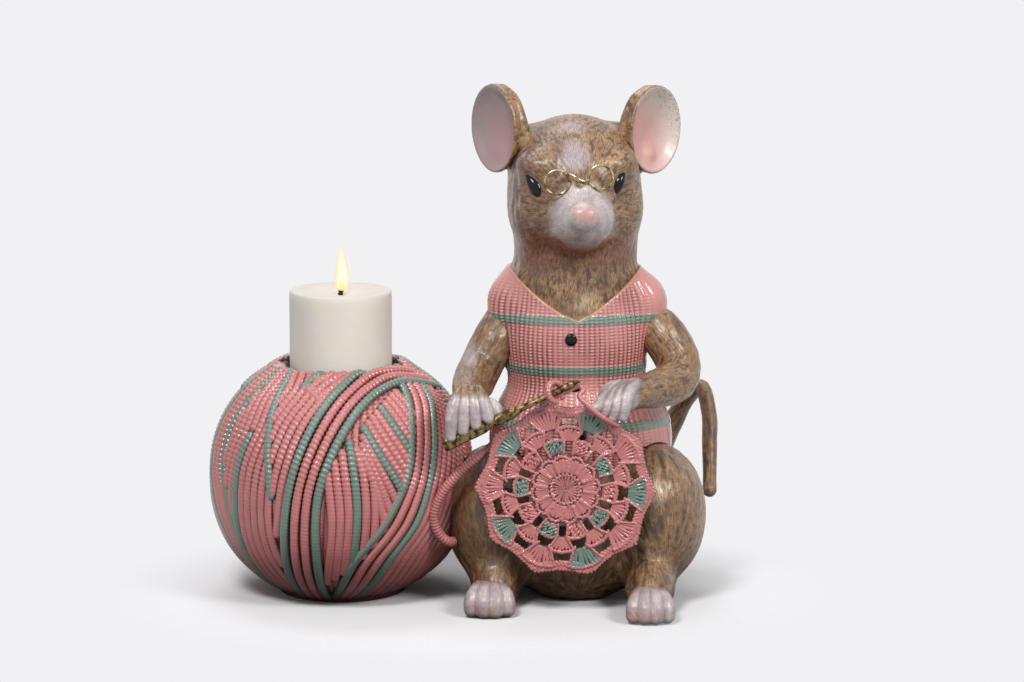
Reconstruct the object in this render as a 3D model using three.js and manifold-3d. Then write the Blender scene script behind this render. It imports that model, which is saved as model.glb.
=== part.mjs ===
// A table candle holder in painted cast resin, about 200 mm tall and 200 mm wide.
// A mouse in a knitted vest sits beside a ball of yarn and crochets a round doily.
// The ball is the holder: a pillar candle stands in a well in its top.
// Units are millimetres. +Z is up, and the mouse faces -Y.
// The origin is on the table, under the axis of the candle.
// Left and right are the mouse's own, so its left hand is on the +X side.

import * as THREE from "three";
import { mergeVertices } from "three/addons/utils/BufferGeometryUtils.js";
import Module from "manifold-3d";

const wasm = await Module();
wasm.setup();

// Gaps between pieces
const GLUE_GAP = 0.3; // between two castings that are glued together
const CANDLE_PLAY = 2.8; // all round the candle in its well

// Candle
const CANDLE_DIAMETER = 40;
const CANDLE_HEIGHT = 60;
const POOL_DEPTH = 2; // the dish that a first burn leaves in the top
const CANDLE_EDGE = 1.2; // rounding of the top edge
const WICK_DIAMETER = 1.9;
const WICK_STAND = 4; // length of wick above the pool

// Ball of yarn, a flattened ball with a flat foot
const BALL_WIDTH = 103;
const BALL_HEIGHT = 97;
const BALL_FULLNESS = 2.2; // 2 is a plain ellipse, and more is squarer
const BALL_SINK = 2.6; // height cut off the ball to make its foot
const STRAND_RELIEF = 1.3; // from the valley between two strands to their tops
const WELL_DEPTH = 31.4;
const BAND_RISE = 1.3; // height of a band's strands above the ball

// Felt pads let into the undersides
const FELT_THICKNESS = 1.4;
const FELT_PROUD = 0.3;
const BALL_FELT_DIAMETER = 24;
const SEAT_FELT_LENGTH = 44;
const SEAT_FELT_WIDTH = 34;

// Where the mouse sits, beside the ball
const NEST = 11.5; // how far the hip laps the ball's width, seen from the front
const HIP_REACH = 52; // from the mouse's middle to the outside of a hip
const SEAT_HEIGHT = 31; // height of the widest part of the hips
const COLLAR_HEIGHT = 128.5;
const HEAD_HEIGHT = 162; // height of the middle of the skull
const HEAD_TURN = 4; // degrees that the head turns to the mouse's left
const SKULL_WIDTH = 52.4;
const SKULL_DEPTH = 56;
const SKULL_RISE = 53; // height of the skull
const SNOUT_REACH = 44; // from the middle of the skull to the front of the nose
const VEST_THICKNESS = 1.2;
const NECKLINE_DEPTH = 18.6; // from the collar down to the point of the V

// Ears
const EAR_WIDTH = 30;
const EAR_HEIGHT = 34.6;
const EAR_THICKNESS = 2.6;
const EAR_DISH = 5.5; // how deep the ear is hollowed
const EAR_SPREAD = 30.2; // from the middle of the head to the middle of an ear
const EAR_SHIFT = 1.2; // both ears stand this far to the head's left
const EAR_RISE = 20; // from the middle of the skull up to the middle of an ear
const EAR_SLANT = 0.5; // the right ear stands this much higher, and the left one lower
const RIGHT_EAR_OPEN = 52; // degrees that the ear turns outwards from facing forward
const LEFT_EAR_OPEN = 36;

// Face
const EYE_DIAMETER = 9.4;
const EYE_SPREAD = 15.2;
const EYE_RISE = 2.5;
const RIM_DIAMETER = 10.2; // spectacle rim, middle of the wire
const WIRE_DIAMETER = 1;
const RIM_SPREAD = 8.5;
const RIM_RISE = 5;
const RIM_DEPTH = 32; // from the middle of the skull forward to the rims

// Buttons on the vest
const BUTTON_DIAMETER = 4.4;
const BUTTON_PROUD = 1.1;
const BUTTON_STEP = 18.4;
const BUTTONS = 3;

// Tail
const TAIL_ROOT_DIAMETER = 11;
const TAIL_DIAMETER = 6.2;
const TAIL_TIP_DIAMETER = 5.6;

// Crochet hook
const HOOK_LENGTH = 57;
const HOOK_SLOPE = 26; // degrees that the hook rises towards its tip
const HOOK_GRIP_DIAMETER = 5;
const HOOK_SHAFT_DIAMETER = 2.9;

// Doily
const DOILY_POINTS = 10; // fans, and so points, round its edge
const DOILY_RADIUS = 34.8;
const DOILY_DIP = 0.085; // share of the radius that the edge falls back between points
const DOILY_TURN = -2; // degrees
const DOILY_THICKNESS = 1.7;
const DOILY_HEIGHT = 49.8; // height of its middle
const DOILY_Y = -43.6; // its back face
const EDGE_CORD_DIAMETER = 2.6;

// Yarn
const LEAD_DIAMETER = 3.9; // the yarn from the ball to the doily
const LOOP_DIAMETER = 2.1; // the working loop and the yarn that the mouse pulls

const vec = (x, y, z) => new THREE.Vector3(x, y, z);
const rad = THREE.MathUtils.degToRad;
const lerp = THREE.MathUtils.lerp;

// Solids

// A closed geometry as a solid that can be joined and cut. A profile drawn the other way round is reversed.
function solid(geometry) {
  const loose = geometry.index ? geometry.toNonIndexed() : geometry;
  const bare = new THREE.BufferGeometry().setAttribute("position", loose.getAttribute("position"));
  const merged = mergeVertices(bare, 1e-4);
  const triVerts = new Uint32Array(merged.index.array);
  const vertProperties = merged.attributes.position.array;
  const made = new wasm.Manifold(new wasm.Mesh({ numProp: 3, vertProperties, triVerts }));
  if (made.volume() > 0) return made;
  for (let i = 0; i < triVerts.length; i += 3) {
    [triVerts[i], triVerts[i + 1]] = [triVerts[i + 1], triVerts[i]];
  }
  return new wasm.Manifold(new wasm.Mesh({ numProp: 3, vertProperties, triVerts }));
}

function geometryOf(made) {
  const mesh = made.getMesh();
  const position = new THREE.BufferAttribute(new Float32Array(mesh.vertProperties), 3);
  const geometry = new THREE.BufferGeometry().setAttribute("position", position);
  geometry.setIndex(new THREE.BufferAttribute(new Uint32Array(mesh.triVerts), 1));
  const flat = geometry.toNonIndexed();
  flat.computeVertexNormals();
  return flat;
}

const join = (solids) => solids.reduce((all, next) => all.add(next));
const cut = (made, tools) => tools.reduce((left, tool) => left.subtract(tool), made);

// A body through a stack of rings that all have the same number of points, closed by a fan at each end.
function ringStack(rings) {
  const count = rings[0].length;
  const corners = [];
  const triangle = (a, b, c) => corners.push(a.x, a.y, a.z, b.x, b.y, b.z, c.x, c.y, c.z);
  const middle = (ring) => ring.reduce((sum, p) => sum.add(p), vec(0, 0, 0)).divideScalar(count);
  const first = middle(rings[0]);
  const last = middle(rings.at(-1));
  for (let i = 0; i < count; i++) {
    const next = (i + 1) % count;
    triangle(first, rings[0][next], rings[0][i]);
    triangle(last, rings.at(-1)[i], rings.at(-1)[next]);
    for (let r = 0; r + 1 < rings.length; r++) {
      const [low, high] = [rings[r], rings[r + 1]];
      triangle(low[i], low[next], high[next]);
      triangle(low[i], high[next], high[i]);
    }
  }
  const geometry = new THREE.BufferGeometry();
  geometry.setAttribute("position", new THREE.Float32BufferAttribute(corners, 3));
  return solid(geometry);
}

// The end of a limb, as rings of [distance beyond the end, radius], both in shares of the limb's radius
const BLUNT = [[0.7, 0.66]];
const ROUND = [[0.55, 0.82], [0.92, 0.38]];

// A round limb through stations of [x, y, z, radius].
function limb(stations, { sides = 10, steps = 12, grow = 0, ends = BLUNT } = {}) {
  const points = stations.map(([x, y, z]) => vec(x, y, z));
  const curve = new THREE.CatmullRomCurve3(points, false, "centripetal");
  const frames = curve.computeFrenetFrames(steps, false);
  const radiusAt = (t) => {
    const place = t * (stations.length - 1);
    const low = Math.min(Math.floor(place), stations.length - 2);
    const share = place - low;
    const eased = share * share * (3 - 2 * share);
    return lerp(stations[low][3], stations[low + 1][3], eased) + grow;
  };
  const ring = (at, frame, radius) =>
    Array.from({ length: sides }, (_, i) => {
      const angle = (2 * Math.PI * i) / sides;
      return at
        .clone()
        .addScaledVector(frames.normals[frame], Math.cos(angle) * radius)
        .addScaledVector(frames.binormals[frame], Math.sin(angle) * radius);
    });
  const rings = [];
  for (let i = 0; i <= steps; i++) {
    const t = i / steps;
    const at = curve.getPoint(t);
    const radius = radiusAt(t);
    const along = frames.tangents[i];
    const endRings = (way) =>
      ends.map(([beyond, share]) => {
        const past = at.clone().addScaledVector(along, way * beyond * radius);
        return ring(past, i, share * radius);
      });
    if (i === 0) rings.push(...endRings(-1).reverse());
    rings.push(ring(at, i, radius));
    if (i === steps) rings.push(...endRings(1));
  }
  return ringStack(rings);
}

function ellipsoid([x, y, z], [rx, ry, rz], columns = 14, rows = 8) {
  const geometry = new THREE.SphereGeometry(1, columns, rows);
  return solid(geometry.rotateX(Math.PI / 2).scale(rx, ry, rz).translate(x, y, z));
}

function box(low, high) {
  const size = high.map((value, i) => value - low[i]);
  const middle = high.map((value, i) => (value + low[i]) / 2);
  return solid(new THREE.BoxGeometry(...size).translate(...middle));
}

// A round body about Z, from a profile of [radius, height] pairs that starts and ends on the axis or closes.
function lathe(profile, segments) {
  const points = profile.map(([radius, height]) => new THREE.Vector2(radius, height));
  return solid(new THREE.LatheGeometry(points, segments).rotateX(Math.PI / 2));
}

// Modelled masses. A mass is an ellipsoid { at, size }, and masses near each other run together like clay.

const CLAY_SOFTNESS = 3.2;

function massDistance(x, y, z, { at, size }) {
  const [dx, dy, dz] = [x - at[0], y - at[1], z - at[2]];
  const scaled = Math.hypot(dx / size[0], dy / size[1], dz / size[2]);
  const slope = Math.hypot(dx / size[0] ** 2, dy / size[1] ** 2, dz / size[2] ** 2);
  return slope < 1e-9 ? -Math.min(...size) : (scaled * (scaled - 1)) / slope;
}

function clayDistance(masses, x, y, z) {
  let sum = 0;
  for (const mass of masses) sum += Math.exp(-massDistance(x, y, z, mass) / CLAY_SOFTNESS);
  return -CLAY_SOFTNESS * Math.log(sum);
}

// How far the clay reaches from a point in a direction, found from outside inwards.
function reach(masses, from, direction, grow = 0) {
  const FAR = 90;
  const STEP = 2;
  const outside = (t) => {
    const p = from.clone().addScaledVector(direction, t);
    return clayDistance(masses, p.x, p.y, p.z) > grow;
  };
  let out = FAR;
  while (out > STEP && outside(out - STEP)) out -= STEP;
  let inside = out - STEP;
  for (let i = 0; i < 16; i++) {
    const half = (out + inside) / 2;
    if (outside(half)) out = half;
    else inside = half;
  }
  return inside;
}

// A body cast from masses: points on rays from a centre. A share of crowding draws the rays to the front.
function cast(masses, centre, { columns, rows, crowd = 0, grow = 0 }) {
  const from = vec(...centre);
  const front = -Math.PI / 2;
  const rings = [];
  for (let r = 1; r < rows; r++) {
    const even = (Math.PI * r) / rows;
    const polar = Math.PI - (even - (crowd * Math.sin(2 * (even - Math.PI / 2))) / 2);
    rings.push(
      Array.from({ length: columns }, (_, i) => {
        const turn = (2 * Math.PI * i) / columns + front;
        const azimuth = turn - crowd * Math.sin(turn - front);
        const flat = Math.sin(polar);
        const direction = vec(flat * Math.cos(azimuth), flat * Math.sin(azimuth), Math.cos(polar));
        return from.clone().addScaledVector(direction, reach(masses, from, direction, grow));
      }),
    );
  }
  return ringStack(rings);
}

// The front of a body of masses at one place, looked for along Y.
function frontOf(masses, x, z) {
  const from = vec(x, 0, z);
  return -reach(masses, from, vec(0, -1, 0));
}

// Candle and wick

const ballRadius = BALL_WIDTH / 2;
const ballMiddle = BALL_HEIGHT / 2 - BALL_SINK + FELT_PROUD;
const footHeight = FELT_PROUD;
const wellRadius = CANDLE_DIAMETER / 2 + CANDLE_PLAY;
const rimShare = (1 - (wellRadius / ballRadius) ** BALL_FULLNESS) ** (1 / BALL_FULLNESS);
const rimHeight = ballMiddle + (BALL_HEIGHT / 2) * rimShare;
const wellFloor = rimHeight - WELL_DEPTH;
const candleFoot = wellFloor + GLUE_GAP;

function candle() {
  const radius = CANDLE_DIAMETER / 2;
  const hole = WICK_DIAMETER / 2 + GLUE_GAP;
  const top = CANDLE_HEIGHT;
  const profile = [
    [hole, 0],
    [radius - CANDLE_EDGE, 0],
    [radius, CANDLE_EDGE],
    [radius, top - CANDLE_EDGE],
    [radius - CANDLE_EDGE, top],
    [radius - 3 * CANDLE_EDGE, top],
    [radius * 0.65, top - POOL_DEPTH * 0.7],
    [hole, top - POOL_DEPTH],
    [hole, 0],
  ];
  return lathe(profile, 32).translate(0, 0, candleFoot);
}

function wick() {
  const radius = WICK_DIAMETER / 2;
  const poolHeight = candleFoot + CANDLE_HEIGHT - POOL_DEPTH;
  return limb(
    [
      [0, 0, candleFoot + 2 * radius, radius],
      [0, 0, poolHeight, radius],
      [0.3, 0, poolHeight + WICK_STAND / 2, radius],
      [0.9, -0.2, poolHeight + WICK_STAND, radius * 0.7],
    ],
    { sides: 6, steps: 4 },
  );
}

// Ball of yarn

// A point on the ball in a direction, raised above its surface.
function onBall(direction, rise = 0) {
  const [wide, high, power] = [ballRadius, BALL_HEIGHT / 2, BALL_FULLNESS];
  const flat = Math.hypot(direction.x, direction.y);
  const size = (flat / wide) ** power + Math.abs(direction.z / high) ** power;
  const point = direction.clone().multiplyScalar(size ** (-1 / power));
  const out = Math.hypot(point.x, point.y);
  const slope = (out / wide) ** (power - 1) / wide / Math.max(out, 1e-6);
  const lift = Math.sign(point.z) * Math.abs(point.z / high) ** (power - 1) / high;
  const normal = vec(point.x * slope, point.y * slope, lift).normalize();
  return point.addScaledVector(normal, rise).add(vec(0, 0, ballMiddle));
}

// A smooth ball that clears the tops of the strands, for cutting what leans on the ball.
function ballSpace() {
  const COLUMNS = 40;
  const ROWS = 18;
  const INSIDE_RIM = 4; // how far past the rim of the well the rows go
  const high = BALL_HEIGHT / 2;
  const footPolar = Math.acos((footHeight - ballMiddle) / high);
  const topPolar = Math.asin((wellRadius - INSIDE_RIM) / ballRadius);
  const ring = (row) => {
    const polar = lerp(footPolar, topPolar, row / ROWS);
    return Array.from({ length: COLUMNS }, (_, i) => {
      const azimuth = (2 * Math.PI * i) / COLUMNS;
      const out = ballRadius * Math.sin(polar);
      const way = vec(out * Math.cos(azimuth), out * Math.sin(azimuth), high * Math.cos(polar));
      const point = onBall(way, STRAND_RELIEF / 2 + GLUE_GAP + 0.1);
      if (row === 0) point.z = footHeight;
      return point;
    });
  };
  return ringStack(Array.from({ length: ROWS + 1 }, (_, row) => ring(row)));
}

// Routes of strands over the front of the ball, as [azimuth, elevation] from its middle in degrees.
// Azimuth -90 is the front. The long routes run from inside the rim to below the foot.
const LEFT_END = [[-184, 70], [-189, 48], [-194, 31], [-198, 11], [-198, -10], [-196, -30], [-190, -72]];
const LEFT_OUTER = [[-172, 70], [-173, 46], [-167, 26], [-164, 6], [-157, -12], [-151, -30], [-146, -72]];
const LEFT_INNER = [[-158, 70], [-152, 44], [-151, 28], [-151, 8], [-147, -10], [-143, -30], [-138, -72]];
const LEFT_STREAK = [[-148, 70], [-134, 49], [-126, 31], [-120, 10], [-119, -10], [-119, -32], [-120, -72]];
const FRONT_BAND_LEFT = [[-70, 70], [-88, 52], [-103, 32], [-110, 8], [-113, -10], [-115, -30], [-118, -72]];
const FRONT_BAND_RIGHT = [[-54, 70], [-69, 47], [-86, 30], [-97, 6], [-99, -12], [-100, -31], [-103, -72]];
const SIDE_BAND_LEFT = [[-22, 70], [-42, 47], [-51, 29], [-58, 9], [-68, -10], [-79, -29], [-100, -72]];
const SIDE_BAND_RIGHT = [[-2, 70], [-23, 44], [-36, 28], [-45, 8], [-52, -10], [-63, -30], [-82, -72]];

// The winding, from left to right: how many strands lie from one route to the next, and their height.
// The hollow between the two bands is filled by the fans.
const LOW = STRAND_RELIEF / 2;
const HOLLOW = -1.4;
const WINDING = [
  { route: LEFT_END, strands: 7, crest: LOW },
  { route: LEFT_OUTER, strands: 3, crest: LOW },
  { route: LEFT_INNER, strands: 7, crest: LOW },
  { route: LEFT_STREAK, strands: 5, crest: LOW },
  { route: FRONT_BAND_LEFT, strands: 3, crest: BAND_RISE },
  { route: FRONT_BAND_RIGHT, strands: 4, crest: HOLLOW },
  { route: SIDE_BAND_LEFT, strands: 3, crest: BAND_RISE },
  { route: SIDE_BAND_RIGHT, strands: 7, crest: LOW },
];

// Fans of short strands between the bands, each spread from one route to another
const FAN_TOP = [[-50, 50], [-47, 42], [-46, 34]];
const FAN_MIDDLE = [[-77, 33], [-71, 21], [-60, 2]];
const FAN_END = [[-79, 22], [-73, 6], [-68, -12]];
const FAN_LEFT = [[-94, 14], [-92, -10], [-97, -45]];
const FAN_STREAK = [[-84, 27], [-81, -4], [-86, -40]];
const FAN_RIGHT = [[-80, 20], [-73, 0], [-77, -30]];
const FANS = [
  { between: [FAN_TOP, FAN_MIDDLE], strands: 9 },
  { between: [FAN_MIDDLE, FAN_END], strands: 4 },
  { between: [FAN_STREAK, FAN_RIGHT], strands: 4 },
  { between: [FAN_STREAK, FAN_LEFT], strands: 4 },
];

// Points along a route, turned round the ball by an angle
function directions(route, turn, steps) {
  const corners = route.map(([azimuth, elevation]) => {
    const flat = Math.cos(rad(elevation));
    const around = rad(azimuth + turn);
    return vec(flat * Math.cos(around), flat * Math.sin(around), Math.sin(rad(elevation)));
  });
  return new THREE.CatmullRomCurve3(corners, false, "centripetal").getPoints(steps);
}

// A line over the ball between two routes, at a share of the way from the first to the second.
const between = (first, second, share, rise) =>
  first.map((direction, i) => onBall(direction.clone().lerp(second[i], share), rise));

// The whole ball in one skin: crests and valleys side by side. The back is wound as the front is.
function woundBall() {
  const STEPS = 9;
  const lines = [];
  for (const turn of [0, 180]) {
    WINDING.forEach(({ route, strands, crest }, i) => {
      const next = WINDING[(i + 1) % WINDING.length];
      const last = i + 1 === WINDING.length;
      const first = directions(route, turn, STEPS);
      const second = directions(next.route, last ? turn + 180 : turn, STEPS);
      const before = WINDING.at(i - 1).crest;
      for (let k = 0; k < strands; k++) {
        const high = k ? crest : Math.max(crest, before);
        lines.push(between(first, second, k / strands, high));
        lines.push(between(first, second, (k + 0.5) / strands, crest - STRAND_RELIEF));
      }
    });
  }
  return ringStack(Array.from({ length: STEPS + 1 }, (_, row) => lines.map((line) => line[STEPS - row])));
}

function fan({ between: [firstRoute, lastRoute], strands }, turn, order) {
  const STEPS = 4;
  const BURIED = -3.2;
  const APART = 0.02; // keeps the crests of neighbouring fans from meeting exactly
  const crest = LOW + APART * order;
  const half = 0.5 / (strands - 1);
  const first = directions(firstRoute, turn, STEPS);
  const second = directions(lastRoute, turn, STEPS);
  const lines = [];
  for (let k = 0; k <= 2 * strands; k++) {
    const share = (k - 1) * half;
    lines.push(between(first, second, share, k % 2 ? crest : crest - STRAND_RELIEF));
  }
  lines.push(between(first, second, 1 + half, BURIED), between(first, second, -half, BURIED));
  return ringStack(Array.from({ length: STEPS + 1 }, (_, row) => lines.map((line) => line[row])));
}

function ballFelt(grow = 0) {
  const radius = BALL_FELT_DIAMETER / 2 + grow;
  return lathe([[0, 0], [radius, 0], [radius, FELT_THICKNESS + grow], [0, FELT_THICKNESS + grow]], 24);
}

function yarnBall() {
  const fans = [0, 180].flatMap((turn) => FANS.map((each, i) => fan(each, turn, i)));
  const well = lathe([[0, wellFloor], [wellRadius, wellFloor], [wellRadius, 200], [0, 200]], 44);
  const below = box([-100, -100, -20], [100, 100, footHeight]);
  return cut(join([woundBall(), ...fans]), [well, below, ballFelt(GLUE_GAP)]);
}

// The mouse, in its own frame: its middle is at X 0, and Y 0 is level with the candle

const mouseX = ballRadius + HIP_REACH - NEST;
const hipX = HIP_REACH - 20;

const LOWER_MASSES = [
  { at: [0, 8, SEAT_HEIGHT - 1], size: [36, 33, 33] },
  { at: [0, -12, SEAT_HEIGHT - 7], size: [28, 22, 26] },
  { at: [-hipX, -14, SEAT_HEIGHT + 2.5], size: [19, 26, 27] },
  { at: [hipX, -13, SEAT_HEIGHT + 2.5], size: [19, 27, 27] },
  { at: [-hipX + 2, -28, SEAT_HEIGHT + 13], size: [11, 11, 11] },
  { at: [hipX - 1, -27, SEAT_HEIGHT + 13], size: [11, 11, 11] },
  { at: [-hipX + 1, -30, 9], size: [9, 14, 10] },
  { at: [hipX - 3, -35, 9], size: [9, 18, 10] },
];

function seatFelt(grow = 0) {
  const disc = lathe([[0, 0], [1, 0], [1, FELT_THICKNESS + grow], [0, FELT_THICKNESS + grow]], 28);
  return disc.scale([SEAT_FELT_LENGTH / 2 + grow, SEAT_FELT_WIDTH / 2 + grow, 1]).translate(0, 8, 0);
}

const lowerCast = (grow = 0) =>
  cast(LOWER_MASSES, [0, -2, SEAT_HEIGHT - 2], { columns: 30, rows: 14, crowd: 0.15, grow });

const torsoMiddle = 6;
const CHEST_HEIGHT = COLLAR_HEIGHT - 28.5;
const TORSO_MASSES = [
  { at: [0, torsoMiddle, CHEST_HEIGHT], size: [28.5, 23, 32] },
  { at: [2.5, torsoMiddle, 60], size: [36, 29, 32] },
  { at: [-24.5, torsoMiddle, COLLAR_HEIGHT - 15], size: [9.5, 10, 11] },
  { at: [26.5, torsoMiddle, COLLAR_HEIGHT - 15], size: [9.5, 10, 11] },
  { at: [-0.8, 8, COLLAR_HEIGHT - 5], size: [26, 21, 17] },
];

// The torso's outside, cut off level at the collar.
function torsoCast(grow = 0) {
  const whole = cast(TORSO_MASSES, [1, torsoMiddle, 88], { columns: 26, rows: 16, grow });
  return cut(whole, [box([-90, -90, COLLAR_HEIGHT + grow], [90, 90, 260])]);
}

// The V of the neckline, as a prism through the front half of the chest.
function necklineV(grow = 0) {
  const half = 27.5 + grow;
  const apex = new THREE.Vector2(0.5, COLLAR_HEIGHT - NECKLINE_DEPTH - 1.4 * grow);
  const shape = new THREE.Shape();
  shape.moveTo(apex.x, apex.y);
  shape.quadraticCurveTo(13 + grow, COLLAR_HEIGHT - 13, half, COLLAR_HEIGHT + 2);
  shape.lineTo(half, COLLAR_HEIGHT + 12);
  shape.lineTo(-half, COLLAR_HEIGHT + 12);
  shape.lineTo(-half, COLLAR_HEIGHT + 2);
  shape.quadraticCurveTo(-14 - grow, COLLAR_HEIGHT - 13, apex.x, apex.y);
  const depth = 40 + torsoMiddle + grow;
  const geometry = new THREE.ExtrudeGeometry(shape, { depth, bevelEnabled: false, curveSegments: 6 });
  return solid(geometry.rotateX(Math.PI / 2).translate(0, torsoMiddle + grow, 0));
}

const HEAD_MASSES = [
  { at: [0, 0, 0], size: [SKULL_WIDTH / 2 - 1, SKULL_DEPTH / 2 - 1, SKULL_RISE / 2 - 0.5] },
  { at: [-15, -8, -11], size: [10, 13, 12] },
  { at: [15, -8, -11], size: [10, 13, 12] },
  { at: [1, 2, -26], size: [23.5, 20, 24] },
  { at: [0.5, -24.5, -12], size: [12.6, SNOUT_REACH - 27.5, 11.4] },
  { at: [0, -21, 0], size: [6.5, 11, 6] },
  { at: [0.5, 2.5 - SNOUT_REACH, -8], size: [4.6, 2.4, 3.4] },
  { at: [-14, -16, 9], size: [8, 7, 4] },
  { at: [14, -16, 9], size: [8, 7, 4] },
  { at: [-18, 9, 12], size: [7, 7, 8] },
  { at: [19, 9, 13], size: [8, 7, 8] },
  { at: [0.5, 2, 122 - HEAD_HEIGHT], size: [22, 14, 14] },
];

// The head's own frame has its origin in the middle of the skull and looks along -Y.
const headMiddle = [-0.7, 6, HEAD_HEIGHT];
const placeHead = (made) => made.rotate([0, 0, HEAD_TURN]).translate(...headMiddle);
const headCast = (grow = 0) =>
  cast(HEAD_MASSES, [0, -6, -4], { columns: 30, rows: 20, crowd: 0.42, grow });

function ear(side, grow = 0) {
  const half = EAR_THICKNESS / 2 + grow;
  const profile = [
    [0, -half - EAR_DISH],
    [0.55, -half - EAR_DISH * 0.72],
    [0.87, -half - EAR_DISH * 0.22],
    [1 + grow / 15, -half * 0.4],
    [1 + grow / 15, half * 0.4],
    [0.86, half - EAR_DISH * 0.25],
    [0.5, half - EAR_DISH * 0.78],
    [0, half - EAR_DISH],
  ];
  const dish = lathe(profile, 16)
    .scale([EAR_WIDTH / 2, EAR_HEIGHT / 2, 1])
    .rotate([90, 0, 0])
    .rotate([0, side * 4, side > 0 ? LEFT_EAR_OPEN : -RIGHT_EAR_OPEN])
    .translate(side * EAR_SPREAD + EAR_SHIFT, 4, EAR_RISE - side * EAR_SLANT);
  const root = limb(
    [
      [side * (EAR_SPREAD - 5) + EAR_SHIFT, 9.5, EAR_RISE - 4, 3.2],
      [side * (EAR_SPREAD - 10) + EAR_SHIFT, 8, EAR_RISE - 8, 4.6],
      [side * (EAR_SPREAD - 15) + EAR_SHIFT, 6, EAR_RISE - 12, 4],
    ],
    { sides: 7, steps: 2, grow },
  );
  return dish.add(root);
}

function eye(side, grow = 0) {
  const radius = EYE_DIAMETER / 2 + grow;
  const front = frontOf(HEAD_MASSES, EYE_SPREAD, EYE_RISE) + EYE_DIAMETER * 0.36;
  return ellipsoid([side * EYE_SPREAD, front, EYE_RISE], [radius, radius, radius * 1.15], 10, 7);
}

// Round wire spectacles: two rims, a wavy bridge, and a prong pressed into the bridge of the snout.
function spectacles(grow = 0) {
  const wire = WIRE_DIAMETER / 2 + grow;
  const rim = (side) =>
    solid(new THREE.TorusGeometry(RIM_DIAMETER / 2, wire, 4, 14).rotateX(Math.PI / 2)).translate(
      side * RIM_SPREAD,
      -RIM_DEPTH,
      RIM_RISE + side * 0.7,
    );
  const gap = RIM_SPREAD - RIM_DIAMETER / 2;
  const bridge = limb(
    [
      [-gap - 0.4, -RIM_DEPTH, RIM_RISE + 1.4, wire],
      [-gap * 0.4, -RIM_DEPTH - 1.2, RIM_RISE + 0.4, wire],
      [gap * 0.4, -RIM_DEPTH - 1.4, RIM_RISE - 1, wire],
      [gap + 0.4, -RIM_DEPTH, RIM_RISE + 0.4, wire],
    ],
    { sides: 5, steps: 5 },
  );
  const seat = frontOf(HEAD_MASSES, 0, RIM_RISE - 0.6);
  const prong = limb(
    [
      [gap * 0.2, -RIM_DEPTH - 1.3, RIM_RISE - 0.6, wire],
      [gap * 0.1, seat + 3, RIM_RISE - 1.6, wire],
    ],
    { sides: 5, steps: 1 },
  );
  return join([rim(-1), rim(1), bridge, prong]);
}

// The head with its neck. The fur of the chest that shows in the neckline is part of it.
function head() {
  const sockets = [-1, 1].flatMap((side) => [eye(side, GLUE_GAP), ear(side, GLUE_GAP)]);
  const carved = placeHead(cut(headCast(), [...sockets, spectacles(GLUE_GAP)]));
  const chest = torsoCast(-VEST_THICKNESS).intersect(necklineV());
  return carved.add(chest);
}

// Buttons lie down the middle of the vest, the top one under the V
const buttonPlaces = Array.from({ length: BUTTONS }, (_, i) => {
  const x = -2 + 1.7 * i;
  const z = COLLAR_HEIGHT - NECKLINE_DEPTH - 7 - BUTTON_STEP * i;
  return [x, frontOf(TORSO_MASSES, x, z), z];
});

function button([x, y, z], grow = 0) {
  const radius = BUTTON_DIAMETER / 2 + grow;
  const sunk = 1.6 + grow;
  const profile = [
    [0, -sunk],
    [radius, -sunk],
    [radius, BUTTON_PROUD * 0.45 + grow],
    [radius * 0.6, BUTTON_PROUD + grow],
    [0, BUTTON_PROUD * 0.8 + grow],
  ];
  return lathe(profile, 14).rotate([90, 0, 0]).translate(x, y, z);
}

// Tail: up behind the vest, over, and down to rest on the left hip
function tail(grow = 0) {
  const root = TAIL_ROOT_DIAMETER / 2;
  const middle = TAIL_DIAMETER / 2;
  const tip = TAIL_TIP_DIAMETER / 2;
  return limb(
    [
      [16, 30, 26, root],
      [31, 40, 42, root * 0.95],
      [39.5, 40, 58, root * 0.8],
      [45.5, 37, 69, middle * 1.05],
      [51, 31, 75, middle],
      [hipX + 21.8, 24, 66, middle],
      [hipX + 21.8, 16, 54, middle],
      [hipX + 21.6, 10, 45, tip],
      [hipX + 21.4, 5, 38.5, tip],
    ],
    { sides: 8, steps: 22, grow, ends: ROUND },
  );
}

// Hook

const hookRun = HOOK_LENGTH * Math.cos(rad(HOOK_SLOPE));
const hookClimb = HOOK_LENGTH * Math.sin(rad(HOOK_SLOPE));
const hookTip = [0.3, DOILY_Y - DOILY_THICKNESS - EDGE_CORD_DIAMETER / 2 - 2.6, 92.8];
const hookButt = [hookTip[0] - hookRun, hookTip[1], hookTip[2] - hookClimb];

// A point on the hook's axis, at a distance from the butt, moved off it by a little.
function alongHook(distance, [x, y, z] = [0, 0, 0]) {
  const share = distance / HOOK_LENGTH;
  return [
    lerp(hookButt[0], hookTip[0], share) + x,
    hookTip[1] + y,
    lerp(hookButt[2], hookTip[2], share) + z,
  ];
}

function crochetHook(grow = 0) {
  const grip = HOOK_GRIP_DIAMETER / 2 + grow;
  const shaft = HOOK_SHAFT_DIAMETER / 2 + grow;
  const end = HOOK_LENGTH + grow;
  const profile = [
    [0, -grow],
    [grip * 0.86, -grow],
    [grip, 0.8 - grow],
    [grip, 17],
    [grip * 0.8, 20],
    [grip * 0.92, 24],
    [grip * 0.92, 29],
    [shaft * 1.1, 33],
    [shaft, 46],
    [shaft * 1.15, 51],
    [shaft * 0.9, end - 1.4],
    [0, end],
  ];
  const rod = lathe(profile, 12);
  const notched = grow ? rod : cut(rod, [ellipsoid([1.9, 0, 50.2], [1.3, 2.4, 1.8], 8, 6)]);
  return notched.rotate([0, 90 - HOOK_SLOPE, 0]).translate(...hookButt);
}

// Doily, drawn flat about its own middle and then stood up to face forward

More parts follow.
